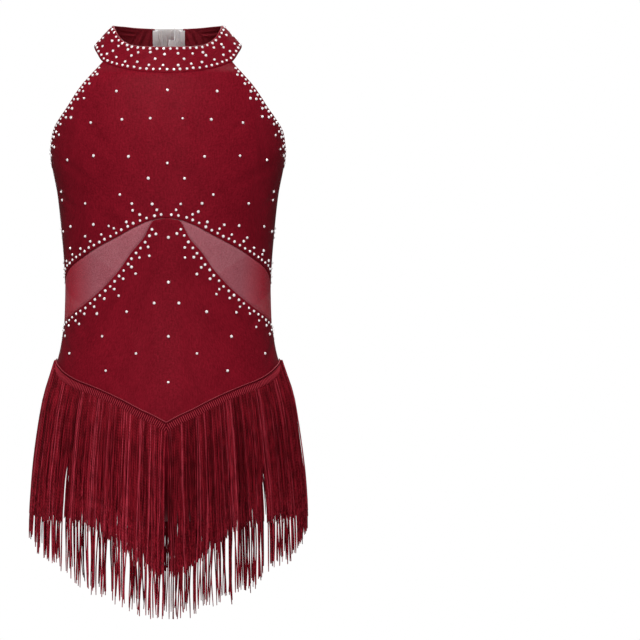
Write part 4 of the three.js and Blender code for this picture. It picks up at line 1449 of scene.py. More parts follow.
@dataclass
class PanelSet:
    """The cut panels of one side of the garment."""

    side: Side

    def panels(self) -> list[ClothPanel]:
        """Panels of this side, from the top down."""
        return self.front() if self.side is Side.FRONT else self.back()

    def front(self) -> list[ClothPanel]:
        """Bodice, two sheer inserts and the lower front."""
        under = Edge(reach=1.6, dip=1.0, roll=1.8)
        common = {"side": Side.FRONT, "top": BODICE_HEM, "bottom": FRONT_LOWER_TOP, "rows": 60,
            "wall": NET_WALL, "lift": -0.3, "top_edge": under, "bottom_edge": under, "slot": Slot.NET}
        return [
            ClothPanel("front_bodice", Slot.SATIN, Side.FRONT, front_top, BODICE_HEM, rows=104,
                top_edge=Edge(dip=0.5), creases=BODICE_CREASES),
            ClothPanel("front_net_left", limits=(5.0, 90.0), **common),
            ClothPanel("front_net_right", limits=(-90.0, -5.0), **common),
            ClothPanel("front_lower", Slot.SATIN, Side.FRONT, FRONT_LOWER_TOP, LEG_FRONT, rows=120,
                bottom_edge=Edge(dip=0.5), creases=LOWER_CREASES),
        ]

    def back(self) -> list[ClothPanel]:
        """Upper net with the keyhole, satin band, waist net and lower back."""
        under = Edge(reach=1.6, dip=1.0, roll=1.8)
        tucked = Edge(reach=0.0, dip=0.9, roll=2.5)
        flush = {"top_edge": Edge(dip=0.5), "bottom_edge": Edge(dip=0.5)}
        net = {"wall": NET_WALL, "lift": -0.3, "bottom_edge": under}
        return [
            ClothPanel("back_net", Slot.NET, Side.BACK, back_net_top, BACK_BAND_TOP, rows=120,
                top_edge=tucked, hole=inside_keyhole, **net),
            ClothPanel("back_band", Slot.SATIN, Side.BACK, BACK_BAND_TOP, BACK_BAND_HEM, rows=44,
                creases=BAND_CREASES, **flush),
            ClothPanel("back_waist_net", Slot.NET, Side.BACK, BACK_BAND_HEM, BACK_LOWER_TOP, rows=44,
                top_edge=under, **net),
            ClothPanel("back_lower", Slot.SATIN, Side.BACK, BACK_LOWER_TOP, LEG_BACK, rows=110,
                creases=SEAT_CREASES, **flush),
        ]

    def build(self) -> None:
        """Makes, dresses and declares every panel of this side."""
        for panel in self.panels():
            obj, grid = panel.build()
            dress(obj, *((NET,) if panel.slot is Slot.NET else (SATIN, SATIN_INSIDE_PAINTED_LIGHT)))
            flat, area = panel.flat_size(grid)
            declare(obj, [panel.node], flat, area * (KEYHOLE_LEAVES if panel.hole else 1))


@dataclass
class Bindings:
    """Folded satin strips round the keyhole and the back of the armholes."""

    keyhole: BandShape = BandShape(KEYHOLE_BINDING_WIDTH, 0.9, 0.9)
    armhole: BandShape = BandShape(ARMHOLE_BINDING_WIDTH, 0.8, 0.9)

    def keyhole_path(self) -> tuple[Array, Array]:
        """Angles and heights along the keyhole's inner edge, below the collar."""
        outline = keyhole_outline()
        x, z = outline[:, 0], outline[:, 1]
        angle = np.degrees(np.arcsin(x / FORM.half_width(np.minimum(z, 0))))
        seam = FORM.collar_seam(Side.BACK, angle)
        below = z < seam + 0.2
        return angle[below], z[below]

    def armhole_path(self, sign: float) -> tuple[Array, Array]:
        """Angles and heights along the back armhole edge of one arm."""
        angle, q = edge_path(Side.BACK, ARMHOLE_BACK, (BACK_CORNER[0] - 0.4, 90.0), 90)
        return sign * angle, q

    def build(self) -> None:
        angle, q = self.keyhole_path()
        self.strip("trim_keyhole", "keyhole_binding", angle, q, self.keyhole, self.outside(angle, q))
        for name, sign in (("left", 1.0), ("right", -1.0)):
            angle, q = self.armhole_path(sign)
            self.strip(f"trim_armhole_{name}", f"armhole_binding_{name}", angle, q, self.armhole,
                self.below(angle, q))

    def outside(self, angle: Array, q: Array) -> float:
        """Sign of the offset that leads away from the keyhole's middle."""
        moved, _ = FORM.offset(Side.BACK, angle, q, 3.0)
        return 1.0 if np.abs(moved[10]) > np.abs(angle[10]) else -1.0

    def below(self, angle: Array, q: Array) -> float:
        """Sign of the offset that leads down from an armhole edge."""
        _, moved = FORM.offset(Side.BACK, angle, q, 3.0)
        return 1.0 if moved[len(q) // 2] < q[len(q) // 2] else -1.0

    def strip(self, name: str, node: str, angle: Array, q: Array, shape: BandShape, sign: float) -> None:
        """Args:
            name: Name of the piece.
            node: Solid that it stands for.
            angle: Angles along its edge.
            q: Heights along its edge.
            shape: Cross section.
            sign: Plus or minus one, the side of the edge on which it lies.
        """
        breadth, height = shape.section()
        way = travelled(FORM.point(Side.BACK, angle, q))
        wave = PUCKERS * (np.sin(way * 0.9) * np.sin(way * 0.23 + 1.0))
        rings = []
        for across, lift in zip(breadth, height):
            a, b = FORM.offset(Side.BACK, angle, q, sign * across) if across > 0 else (angle, q)
            soft = wave * (lift > 0) * np.sin(math.pi * across / shape.width)
            out = FORM.normal(Side.BACK, a, b) * (lift + soft)[..., None]
            rings.append(FORM.point(Side.BACK, a, b) + out)
        flat = np.broadcast_arrays(breadth + np.arange(len(breadth)) * 0.01, way[:, None])
        obj = tube(name, np.stack(rings, axis=1), np.stack(flat, -1) * UV_SCALE)
        dress(obj, TRIM)
        length = float(way[-1]) * MM
        size = (max(shape.width, NARROWEST_SHEET) * MM, length)
        declare(obj, [node], size, shape.width * MM * length)


@dataclass
class CollarBand:
    """Doubled satin band round the neck, with its ends at the clasp.

    Attributes:
        columns: Faces round the ring.
        across: Points over the height of one face.
        plump: How far the middle of the band stands out.
        creases: Creases of both faces, by collar angle and height.
        folds: Folds of the inner face.
    """

    wall: float = COLLAR_WALL
    columns: int = 400
    across: int = 34
    plump: float = 0.5
    height: float = 30.0
    creases: Sequence[Crease] = COLLAR_CREASES
    folds: Sequence[Crease] = COLLAR_FOLDS

    def end_angle(self, up: Array, before: float = 0.0) -> Array:
        """Angle where the band ends, or a little before, at a share of its height."""
        width = COLLAR_LOW[0] + (COLLAR_TOP[0] - COLLAR_LOW[0]) * up
        return 180 - np.degrees(np.arcsin((COLLAR_END_X + before) / width))

    def build(self) -> None:
        up = np.linspace(0, 1, self.across)
        up = up - 0.6 * np.sin(2 * np.pi * up) / (2 * np.pi)
        turn = np.linspace(-1, 1, self.columns + 1)
        share = np.broadcast_to(up[:, None], (self.across, self.columns + 1))
        angle = turn[None, :] * self.end_angle(share)
        base = FORM.collar_point(angle, share)
        normal = FORM.collar_normal(angle, share)
        bulge = self.plump * np.sin(np.pi * share) ** 0.7
        for crease in self.creases:
            bulge = bulge - crease.push(angle, share * self.height, 1.2)
        edge = np.minimum(share, 1 - share) * self.height
        bulge = bulge - 0.9 * np.exp(-((edge / 0.75) ** 2))
        ends = (self.end_angle(share) - np.abs(angle)) * 1.15
        bulge = bulge - 0.6 * np.exp(-((ends / 0.7) ** 2))
        bulge = bulge - 0.45 * np.exp(-(((ends - 5.4) / 0.55) ** 2))
        outer = base + normal * bulge[..., None]
        depth = self.wall - 0.35 * np.sin(np.pi * share) ** 0.5
        for crease in self.folds:
            depth = depth + crease.push(angle, share * self.height, 1.2)
        inner = base - normal * depth[..., None]
        around = travelled(base.swapaxes(0, 1)).T
        uv = np.stack([around, share * self.height], -1) * UV_SCALE
        obj = shell("cloth_collar", outer, inner, uv)
        dress(obj, SATIN, SATIN_INSIDE_PAINTED_LIGHT)
        flat = (float(around.max()) * MM / STRETCH, self.height * MM)
        declare(obj, ["collar"], flat, flat[0] * flat[1])


@dataclass
class NeckClasp:
    """Moulded clasp of two halves that lock along a stepped line.

    Attributes:
        reach: How far the tongue of the right half crosses the middle.
        foot: Height of the step.
        gap: Clearance along the line.
        bars: Places of the flat bars on the inner face.
        wing: How far the inner wings reach under the collar's ends.
    """

    width: float = 28
    height: float = 29.5
    thickness: float = 3.0
    reach: float = 5.8
    foot: float = 1.4
    gap: float = 0.15
    lip_height: float = 2.0
    lip_depth: float = 4.4
    inwards: float = 0.2
    down: float = 1.6
    ribs: Sequence[float] = (-11.6, -8.8, -6, 2.4, 8.8, 11.6)
    bars: Sequence[float] = (-9.4, -6.2, -2.6, 2.6, 7.2, 10.0)
    wing: float = 3.0

    def place(self) -> Matrix:
        """Turn and place of the clasp, square to the back of the collar."""
        low = FORM.collar_point(np.array(180.0), np.array(0.0))
        top = FORM.collar_point(np.array(180.0), np.array(1.0))
        middle = Vector((0, (low[1] + top[1]) / 2 - 2.2 - self.inwards, (low[2] + top[2]) / 2 - self.down))
        lean = math.atan2(low[1] - top[1], top[2] - low[2])
        return Matrix.Translation(middle) @ Matrix.Rotation(lean, 4, "X")

    def block(self, outline: Rows, low: float, high: float, soft: float) -> tuple[list, list]:
        """Vertices and faces of a prism with softened outer corners.

        Args:
            outline: X and Z of each corner.
            low: First depth.
            high: Last depth.
            soft: Size of the rounding on the outer face.

        Returns:
            Points and faces.
        """
        count = len(outline)
        flat = np.array(outline, dtype=float)
        rings = []
        for depth, inset in ((low, soft), (low + soft * 0.4, 0.35 * soft), (low + soft, 0.0),
                (high - soft, 0.0), (high - soft * 0.4, 0.35 * soft), (high, soft)):
            pulled = self.inset(flat, inset)
            rings.append(np.stack([pulled[:, 0], np.full(count, depth), pulled[:, 1]], -1))
        points = np.concatenate(rings)
        return points.tolist(), ring_faces(len(rings), count)

    def bar(self, left: float, right: float, low: float, high: float,
            depths: tuple[float, float], soft: float = 0.25) -> tuple[list, list]:
        """Vertices and faces of a straight bar."""
        outline = [(left, low), (right, low), (right, high), (left, high)]
        return self.block(outline, *depths, soft)

    def inset(self, outline: Array, distance: float) -> Array:
        """Moves the corners of an outline inwards by a distance."""
        before, after = np.roll(outline, 1, axis=0), np.roll(outline, -1, axis=0)
        a, b = unit(outline - before), unit(after - outline)
        area = np.sum(outline[:, 0] * after[:, 1] - after[:, 0] * outline[:, 1])
        turn = 1.0 if area > 0 else -1.0
        na, nb = (np.stack([-v[:, 1], v[:, 0]], -1) * turn for v in (a, b))
        both = na + nb
        return outline + both * distance / np.maximum((both * na).sum(-1, keepdims=True), 0.3)

    def half(self, is_left: bool) -> Object:
        """Makes one half with its ribs and its lip.

        Args:
            is_left: Whether it is the wearer's left half.

        Returns:
            The object.
        """
        half, top, gap = self.width / 2, self.height / 2, self.gap
        reach, foot = self.reach, self.foot
        if is_left:
            outline = [(gap, -top), (half, -top), (half, top), (reach + gap, top),
                (reach + gap, foot - gap), (gap, foot - gap)]
            lip = (gap, half + 0.4)
        else:
            outline = [(-half, -top), (-gap, -top), (-gap, foot + gap), (reach - gap, foot + gap),
                (reach - gap, top), (-half, top)]
            lip = (-half - 0.4, -gap)
        blocks = [self.block(outline, 0, self.thickness, 0.45),
            self.bar(*lip, -top - 0.4, -top + self.lip_height, (-0.6, self.lip_depth - 0.6), 0.5)]
        for x in (rib for rib in self.ribs if (rib > reach) == is_left):
            low = foot + 1.2 if 0 < x < reach else 1 - top
            blocks.append(self.bar(x - 0.5, x + 0.5, low, top - 1,
                (self.thickness - 0.5, self.thickness + 0.6)))
        out = 1 if is_left else -1
        for far, depths in ((half + self.wing, (-2.7, -1.5)), (half - 0.6, (-1.9, 0.4))):
            x = sorted((out * (half - 2.6), out * far))
            blocks.append(self.bar(*x, 2.2 - top, top - 1.2, depths))
        for x in (bar for bar in self.bars if (bar > reach) == is_left):
            low = foot + 1.2 if 0 < x < reach else 3.4 - top
            blocks.append(self.bar(x - 0.45, x + 0.45, low, top - 1.4, (-0.75, 0.3)))
        points: list = []
        faces: list = []
        for block_points, block_faces in blocks:
            faces += [[len(points) + k for k in face] for face in block_faces]
            points += block_points
        turn = self.place()
        moved = [tuple(turn @ Vector(point)) for point in points]
        obj = make_mesh(f"clasp_half_{'left' if is_left else 'right'}", np.array(moved), faces)
        face_outwards(obj)
        obj.data.set_sharp_from_angle(angle=math.radians(35))
        return obj

    def build(self) -> None:
        """Makes, dresses and declares both halves."""
        for is_left, node in ((True, "clasp_left"), (False, "clasp_right")):
            obj = self.half(is_left)
            dress(obj, PLASTIC)
            declare(obj, [node])


# Height of the eye and how much nearer than the middle the cloth is seen.
SIGHT_HEIGHT = -288.75
SIGHT_SCALE = 1.01
# Stones, by X and height as seen in millimetres; each row is used on both halves.
FRONT_STONES = ((1, -47), (53, -48), (17, -77), (47, -78), (80, -81), (77, -116), (40, -117), (1, -124),
    (105, -120), (19, -140), (49, -157), (86, -166), (15, -167), (102, -190), (112, -153), (111, -162),
    (110, -195), (2, -202), (2, -249), (13, -271), (42, -280), (68, -306), (2, -306), (32, -324),
    (103, -324), (64, -342), (2, -354))
BACK_STONES = ((87, -240), (102, -240), (76, -255), (9, -301), (18, -292), (89, -337), (68, -357),
    (34, -373), (0, -391), (87, -327), (66, -341), (41, -358), (17, -369))


# Rows of stones: side, seam, and for each row the limits of one half, the distance below the
# seam, the pitch, the place of the first stone in steps, and the largest random shift.
STONE_ROWS = (
    (Side.FRONT, BODICE_HEM, (((0.6, 89), -4, 7.2), ((2, 89), -9.4, 16.5, 0.3),
        ((4, 88), -15.5, 29, 0.7, 1.6), ((9, 60), -22, 46, 0.2, 2))),
    (Side.FRONT, FRONT_LOWER_TOP, (((8.5, 89), 4, 7.4), ((9, 89), 9.6, 14.5, 0.3),
        ((11, 86), 17, 27, 0.6, 1.8))),
    (Side.FRONT, ARMHOLE_FRONT, (((49.5, 89), 3.6, 5.2), ((50.5, 87), 8.6, 10.6, 0.25),
        ((53, 84), 15, 20.5, 0.6, 1.4))),
    (Side.BACK, BACK_BAND_TOP, (((0.6, 89), 4, 7.2), ((3, 88), 9.6, 16, 0.3))),
    (Side.BACK, BACK_BAND_HEM, (((0.6, 89), -4, 7.2), ((3, 88), -9.6, 15, 0.4))),
    (Side.BACK, BACK_LOWER_TOP, (((0.6, 89), 4, 7.2), ((2, 88), 9.8, 14.4, 0.3),
        ((4, 84), 17.5, 31, 0.7, 2))),
)


@dataclass
class StoneWork:
    """All the stones glued to the satin and along the armholes."""

    size: float = STONE_SIZE
    height: float = 1.05
    sink: float = 0.25
    draw: Generator = field(default_factory=lambda: np.random.default_rng(STONE_SEED))

    def row_spots(self, spots: Spots, side: Side, line: Line, limits: tuple[float, float], below: float,
            pitch: float, start: float = 0.5, jitter: float = 0.45) -> None:
        """Adds the stones of a row on both halves."""
        angle, q = edge_path(side, line, limits, 300)
        place = even_share(FORM.point(side, angle, q), pitch, start)
        a, b = FORM.offset(side, angle, q, 1.0)
        sign = 1.0 if b[150] < q[150] else -1.0
        a, b = FORM.offset(side, angle, q, sign * below)
        a, b = along_line(a, place), along_line(b, place)
        for half in (1.0, -1.0):
            turn = a + self.draw.uniform(-1, 1, len(a)) * jitter / 1.8
            down = b + self.draw.uniform(-1, 1, len(b)) * jitter
            self.put(spots, side, half * turn, down)

    def put(self, spots: Spots, side: Side, angle: Array, q: Array) -> None:
        """Adds stones at places of the form."""
        normal = FORM.normal(side, angle, q)
        lift = self.height / 2 - self.sink
        along = unit(np.cross(normal, self.draw.normal(size=(len(angle), 3))))
        tilt = normal + self.draw.normal(size=normal.shape) * 0.05
        spots.put(FORM.point(side, angle, q) + normal * lift, along, unit(tilt),
            self.draw.uniform(0.84, 1.06, len(angle)))

    def scattered(self, spots: Spots, side: Side, rows: Rows) -> None:
        """Adds single stones from a table of X and height."""
        table = np.array([(x * s, z) for x, z in rows for s in ((1, -1) if abs(x) > 4 else (1,))],
            dtype=float)
        table = (table - (0, SIGHT_HEIGHT)) / SIGHT_SCALE + (0, SIGHT_HEIGHT)
        angle = np.degrees(np.arcsin(np.clip(table[:, 0] / FORM.half_width(table[:, 1]), -1, 1)))
        self.put(spots, side, angle, table[:, 1])

    def collar_spots(self, spots: Spots) -> None:
        """Adds the rows along the collar's edges and the sparse ones between."""
        for up, pitch, start, limit in ((0.11, 7.1, 0.5, 161), (0.90, 7.1, 0.5, 161),
                (0.30, 14.2, 0.75, 158), (0.72, 14.2, 0.3, 158), (0.51, 27.0, 0.6, 152)):
            angle = np.linspace(-limit, limit, 900)
            points = FORM.collar_point(angle, np.full_like(angle, up))
            place = even_share(points, pitch, start)
            turn = along_line(angle, place) + self.draw.uniform(-1, 1, len(place)) * 0.35
            share = np.full_like(turn, up) + self.draw.uniform(-1, 1, len(place)) * 0.015
            if 0.2 < up < 0.8:
                turn = turn + self.draw.uniform(-1, 1, len(place)) * 1.2
                share = share + self.draw.uniform(-1, 1, len(place)) * 0.045
            normal = FORM.collar_normal(turn, share)
            lift = self.height / 2 - self.sink + 0.42 * np.sin(np.pi * share) ** 0.7
            along = unit(np.cross(normal, self.draw.normal(size=(len(turn), 3))))
            spots.put(FORM.collar_point(turn, share) + normal * lift[:, None], along, normal,
                self.draw.uniform(0.86, 1.06, len(turn)))

    def build(self) -> None:
        sizes = (self.size, self.size, self.height)
        groups = {"collar": Spots(), "front": Spots(), "back": Spots()}
        self.collar_spots(groups["collar"])
        for side, line, rows in STONE_ROWS:
            for row in rows:
                self.row_spots(groups[side.name.lower()], side, line, *row)
        self.scattered(groups["front"], Side.FRONT, FRONT_STONES)
        self.scattered(groups["back"], Side.BACK, BACK_STONES)
        for name, spots in groups.items():
            declare(spots.scatter(f"stones_{name}", Repeat.STONE, sizes, GEM))


@dataclass
class Sewing:
    """Rows of stitches on the bindings and across the collar's ends."""

    length: float = 2.4
    pitch: float = 3.0
    width: float = 0.5
    height: float = 0.4

    def run(self, spots: Spots, points: Array, normal: Array, lift: float) -> None:
        """Adds a row of stitches along points."""
        place = even_share(points, self.pitch)
        along = unit(np.gradient(points, axis=0))
        spots.put(along_line(points + normal * lift, place), along_line(along, place),
            along_line(normal, place))

    def on_form(self, spots: Spots, side: Side, angle: Array, q: Array, offset: float, lift: float) -> None:
        """Adds a row beside a line of the form."""
        a, b = FORM.offset(side, angle, q, offset)
        self.run(spots, FORM.point(side, a, b), FORM.normal(side, a, b), lift)

    def serge(self, spots: Spots) -> None:
        """Adds the overcast edge inside the lower front of the collar."""
        for up, lean in ((0.045, 1.0), (0.10, -1.0)):
            angle = np.linspace(-74, 74, 150)
            points = FORM.collar_point(angle, np.full_like(angle, up))
            normal = FORM.collar_normal(angle, np.full_like(angle, up))
            rise = unit(FORM.collar_point(angle, np.full_like(angle, up + 0.02)) - points)
            across = unit(np.gradient(points, axis=0))
            place = even_share(points, 1.7)
            spots.put(along_line(points - normal * (COLLAR_WALL + 0.05), place),
                along_line(unit(rise + across * 0.5 * lean), place), along_line(-normal, place))

    def build(self) -> None:
        spots = Spots()
        bindings = Bindings()
        angle, q = bindings.keyhole_path()
        sign = bindings.outside(angle, q)
        self.on_form(spots, Side.BACK, angle, q, sign * 1.3, 0.72)
        self.on_form(spots, Side.BACK, angle, q, sign * (KEYHOLE_BINDING_WIDTH - 1.0), 0.68)
        for half in (1.0, -1.0):
            angle, q = bindings.armhole_path(half)
            sign = bindings.below(angle, q)
            self.on_form(spots, Side.BACK, angle, q, sign * (ARMHOLE_BINDING_WIDTH - 0.9), 0.58)
            up = np.linspace(0.06, 0.94, 40)
            end = half * CollarBand().end_angle(up, 5.6)
            self.run(spots, FORM.collar_point(end, up), FORM.collar_normal(end, up), 0.15)
        self.serge(spots)
        obj = spots.scatter("trim_stitches", Repeat.STITCH, (self.length, self.width, self.height), THREAD)
        declare(obj)


@dataclass(frozen=True)
class StrandLayer:
    """One layer of fringe strands.

    Attributes:
        lift: Mean distance off the strands' envelope.
        scatter: Spread of that distance.
        tip_spread: Unevenness of the ends.
        cling: How strongly neighbours draw together near their ends.
        tone: Mean lightness, from nought to one.
        weight: Thickness against the fringe's own.
    """

    count: int
    lift: float
    scatter: float
    tips: Profile
    tip_spread: float
    cling: float
    tone: float
    weight: float = 1.0


# Slits between the strands: angle, height where it opens, width.
FRONT_PARTINGS = ((0, -404, 1.5), (0, -498, 0.9), (-49, -432, 2.5), (46.5, -434, 2.3), (-23, -505, 0.9),
    (31, -492, 0.9), (62, -470, 0.8), (-66, -476, 0.8))
BACK_PARTINGS = ((0, -515, 0.9), (-51.5, -440, 3), (46, -444, 3), (-22, -508, 0.7), (27, -502, 0.7),
    (-72, -490, 0.6))


@dataclass
class Fringe:
    """Header tape and hanging strands of one side.

    Attributes:
        seed: Seed of the strands' unevenness.
        layers: Outer and inner strands.
        partings: Angle, height and width of each slit between strands.
    """

    side: Side
    seed: int
    radius: float = 0.57
    sides: int = 5
    points: int = 14
    end_angle: float = 89.85
    layers: Sequence[StrandLayer] = (StrandLayer(150, 0.8, 0.9, STRAND_TIPS, 5.0, 0.6, 0.68, 1.25),
        StrandLayer(320, 0.4, 1.1, DENSE_TIPS, 3.5, 0.35, 0.66),
        StrandLayer(250, -1.5, 0.9, DENSE_TIPS, 4.0, 0.2, 0.5, 1.1))
    partings: Rows = FRONT_PARTINGS
    clumps: int = 68
    rise: float = 8.5
    rib_pitch: float = 2.25
    rib_from: float = 2.15

    @property
    def label(self) -> str:
        """Name of this side."""
        return self.side.name.lower()

    def foot(self, angle: Array) -> Array:
        """Height of the tape's lower edge."""
        line = TAPE_LINES[self.side]
        return line(angle) - FORM.drop(self.side, line, angle, TAPE_HEIGHT)

    def tape_grid(self, depths: Rows, columns: int = 260) -> Array:
        """Points of the tape.

        Args:
            depths: Distance below its upper edge and distance off the form, for each row.
            columns: Faces along the tape.

        Returns:
            Columns by rows of points in millimetres.
        """
        line = TAPE_LINES[self.side]
        angle = np.linspace(-90, 90, columns + 1)
        rows = []
        for down, lift in depths:
            q = line(angle) - FORM.drop(self.side, line, angle, down)
            rows.append(FORM.point(self.side, angle, q) + FORM.normal(self.side, angle, q) * lift)
        return np.stack(rows, axis=1)

    def build_tape(self) -> None:
        """Makes the woven strip with its raised upper cord."""
        height, thick = TAPE_HEIGHT, TAPE_THICKNESS
        outline = [(0.0, 0.3), (-0.2, 0.8), (0.0, 1.35), (0.45, 1.6), (0.95, 1.5), (1.25, 1.3),
            (1.6, thick - 0.35), (2.6, thick - 0.4), (height * 0.5, thick - 0.35),
            (height - 1.2, thick - 0.4), (height - 0.2, thick - 0.6), (height, 0.8), (height - 0.3, 0.35),
            (height * 0.5, 0.3)]
        grid = self.tape_grid(outline)
        length = travelled(grid[:, 0])
        uv = np.stack(np.broadcast_arrays(np.array([row[0] for row in outline]), length[:, None]),
            -1) * UV_SCALE
        obj = tube(f"fringe_tape_{self.label}", grid, uv)
        dress(obj, TAPE_BASE_PAINTED_SHADE)
        flat = (float(length[-1]) * MM, (height + 1.0) * MM)
        declare(obj, (), flat, flat[0] * flat[1])

    def build_ribs(self) -> None:
        """Makes the close raised bars, square to the tape and meeting at its point."""
        spots = Spots()
        reach = (TAPE_HEIGHT - self.rib_from) / 2
        lift = TAPE_THICKNESS - 0.45
        rows = self.tape_grid([(self.rib_from, lift), (TAPE_HEIGHT - 0.3, lift)], 1000)
        middle = len(rows) // 2
        for half in (rows[middle::-1], rows[middle:]):
            line = half.mean(axis=1)
            place = even_share(line, self.rib_pitch)
            step = travelled(line)[-1] / len(place)
            place = np.concatenate([[0.0], place])
            along = along_line(unit(np.gradient(line, axis=0)), place)
            down = unit(along_line(half[:, 1] - half[:, 0], place))
            spot = along_line(line, place)
            spot[0] -= along[0] * step / 2
            facing = unit(np.cross(along, down))
            facing = facing * np.sign(np.sum(facing * spot * (1, 1, 0), -1, keepdims=True))
            across = unit(np.cross(facing, along))
            across = across * np.sign(np.sum(across * down, -1, keepdims=True))
            lean = np.clip((middle - place) / 60, 0, 1)[:, None]
            across = unit(across * lean + down * (1 - lean))
            far = step * (np.arange(len(place)) - 0.5)
            steep = np.abs(along[:, 2]) / np.hypot(along[:, 0], along[:, 1])
            above = np.minimum(reach, far / np.maximum(steep, 1e-3))
            size = np.maximum((above + reach) / (2 * reach), 0.45)
            spots.put(spot + across * ((reach - above) / 2)[:, None], across, facing, size)
        length = 2 * reach + 0.4
        obj = spots.scatter(f"fringe_ribs_{self.label}", Repeat.RIB, (length, 1.05, 1.5), RIB_YARN)
        declare(obj)

    def build_cord(self) -> None:
        """Makes the plied cord along the tape's upper edge."""
        cord = Spots()
        line = self.tape_grid([(0.45, 1.55)], 500)[6:-6, 0]
        place = even_share(line, 1.9)
        cord.put(along_line(line, place), along_line(unit(np.gradient(line, axis=0)), place),
            along_line(unit(line * (1, 1, 0)), place))
        obj = cord.scatter(f"fringe_cord_{self.label}", Repeat.STITCH, (2.2, 1.3, 0.9), EDGE_YARN)
        declare(obj)

    def root_angles(self, count: int, draw: Generator) -> Array:
        """Angles that share the tape's foot out evenly, with a little unevenness."""
        angle = np.linspace(-self.end_angle, self.end_angle, 800)
        points = FORM.point(self.side, angle, self.foot(angle))
        place = even_share(points, float(travelled(points)[-1]) / count)
        return along_line(angle, place) + draw.uniform(-0.18, 0.18, len(place))

    def parted(self, angle: Array, z: Array) -> Array:
        """Angles after the strands step aside at the slits."""
        for middle, start, width in self.partings:
            open_share = np.clip((start - z) / 26.0, 0, 1) ** 0.7
            away = angle - middle
            flank = np.where(away[:, :1] >= 0, 1.0, -1.0)
            away = flank * away + width / 2.2 * open_share * np.exp(-((away / 3.4) ** 2))
            kept = np.maximum(away, 0.55 * width * open_share)
            angle = middle + flank * np.where(open_share > 0, kept, away)
        return angle

    def strands(self, layer: StrandLayer, draw: Generator) -> tuple[Array, Array, Array]:
        """Paths of one layer's strands.

        Args:
            layer: Layer to lay out.
            draw: Source of unevenness.

        Returns:
            Points by strand, and the darkness and thickness at each point.
        """
        root = self.root_angles(layer.count, draw)
        count = len(root)
        centres = np.sort(draw.uniform(-90, 90, self.clumps))
        nearest = centres[np.abs(root[:, None] - centres[None, :]).argmin(axis=1)]
        share = np.linspace(0, 1, self.points) ** 0.92
        rise = self.rise * np.clip((np.abs(root) - 66) / 20, 0, 1) ** 2
        head = self.foot(root) + rise
        start = FORM.height(head) + 1.6
        tip = layer.tips(np.abs(root)) + draw.normal(size=count) * layer.tip_spread * 0.6
        tip = np.maximum(tip, -599.0)
        z = start[:, None] + (tip - start)[:, None] * share
        low = np.clip((-430.0 - z) / 150.0, 0, 1.2)
        cling = layer.cling * draw.uniform(0.3, 1.0, count)
        angle = root[:, None] + (nearest - root)[:, None] * cling[:, None] * low ** 1.3 * 0.8
        sway = draw.normal(size=count)[:, None] * 1.15 * low ** 1.6
        phase = draw.uniform(0, 2 * math.pi, count)[:, None]
        wave = np.sin(share * draw.uniform(6, 16, count)[:, None] + phase) * 0.34 * share
        angle = self.parted(angle + sway + wave, z)
        lift = layer.lift + draw.normal(size=count)[:, None] * layer.scatter
        lift = lift * np.clip(share * 5, 0.35, 1.0) + np.sin(share * 9 + phase * 1.7) * 0.25
        rooted = FORM.point(self.side, root, head)
        rooted = rooted + FORM.normal(self.side, root, head) * (1.25 + 0.08 * rise)[:, None]
        hang = FORM.skirt_point(self.side, angle, z)
        base = FORM.skirt_point(self.side, root, start)
        turn = np.radians(angle)
        out = np.stack([np.sin(turn), self.side.value * np.cos(turn), np.zeros_like(turn)], -1)
        points = rooted[:, None, :] * (1, 1, 0) + hang - base[:, None, :] * (1, 1, 0)
        points = points + out * lift[..., None]
        group = np.sin(nearest * 1.7) * 0.12
        shade = 1 - layer.tone + group + draw.normal(size=count) * 0.19
        # A tenth of the strands, picked at random, are paler: painted highlights of strands that catch the
        # light.
        shade = np.clip(shade - 0.3 * (draw.random(count) < 0.1), 0.0, 0.95)
        # Lighter towards the lower ends: painted light, so that strands in shade behind the others don't
        # turn black.
        shade = shade[:, None] * (1 - 0.6 * np.clip((share - 0.7) / 0.3, 0, 1))
        thick = np.full(points.shape[:2], layer.weight) * draw.uniform(0.85, 1.15, count)[:, None]
        thick[:, -1] *= 0.62
        thick[:, 0] *= 0.8
        return points, shade, thick

    def build_strands(self) -> None:
        """Makes the strands of every layer as one piece."""
        draw = np.random.default_rng(self.seed)
        layers = [self.strands(layer, draw) for layer in self.layers]
        points, shade, thick = map(np.concatenate, zip(*layers))
        index = np.arange(shade.size).reshape(shade.shape)
        edges = np.stack([index[:, :-1].ravel(), index[:, 1:].ravel()], -1)
        obj = make_mesh(f"fringe_strands_{self.label}", points.reshape(-1, 3), smooth=False,
            edges=edges.tolist())
        add_attribute(obj, "shade", shade.ravel())
        add_attribute(obj, "thick", thick.ravel())
        grown(obj, STRAND_TREE, {"Radius": self.radius * MM, "Sides": self.sides,
            "Material": material_of(FRINGE)})
        obj.data.shade_smooth()
        face_outwards(obj)
        declare(obj, [f"fringe_{self.label}"])
        LOG.info("%s: %d strands", obj.name, len(points))

    def build(self) -> None:
        self.build_tape()
        self.build_ribs()
        self.build_cord()
        self.build_strands()


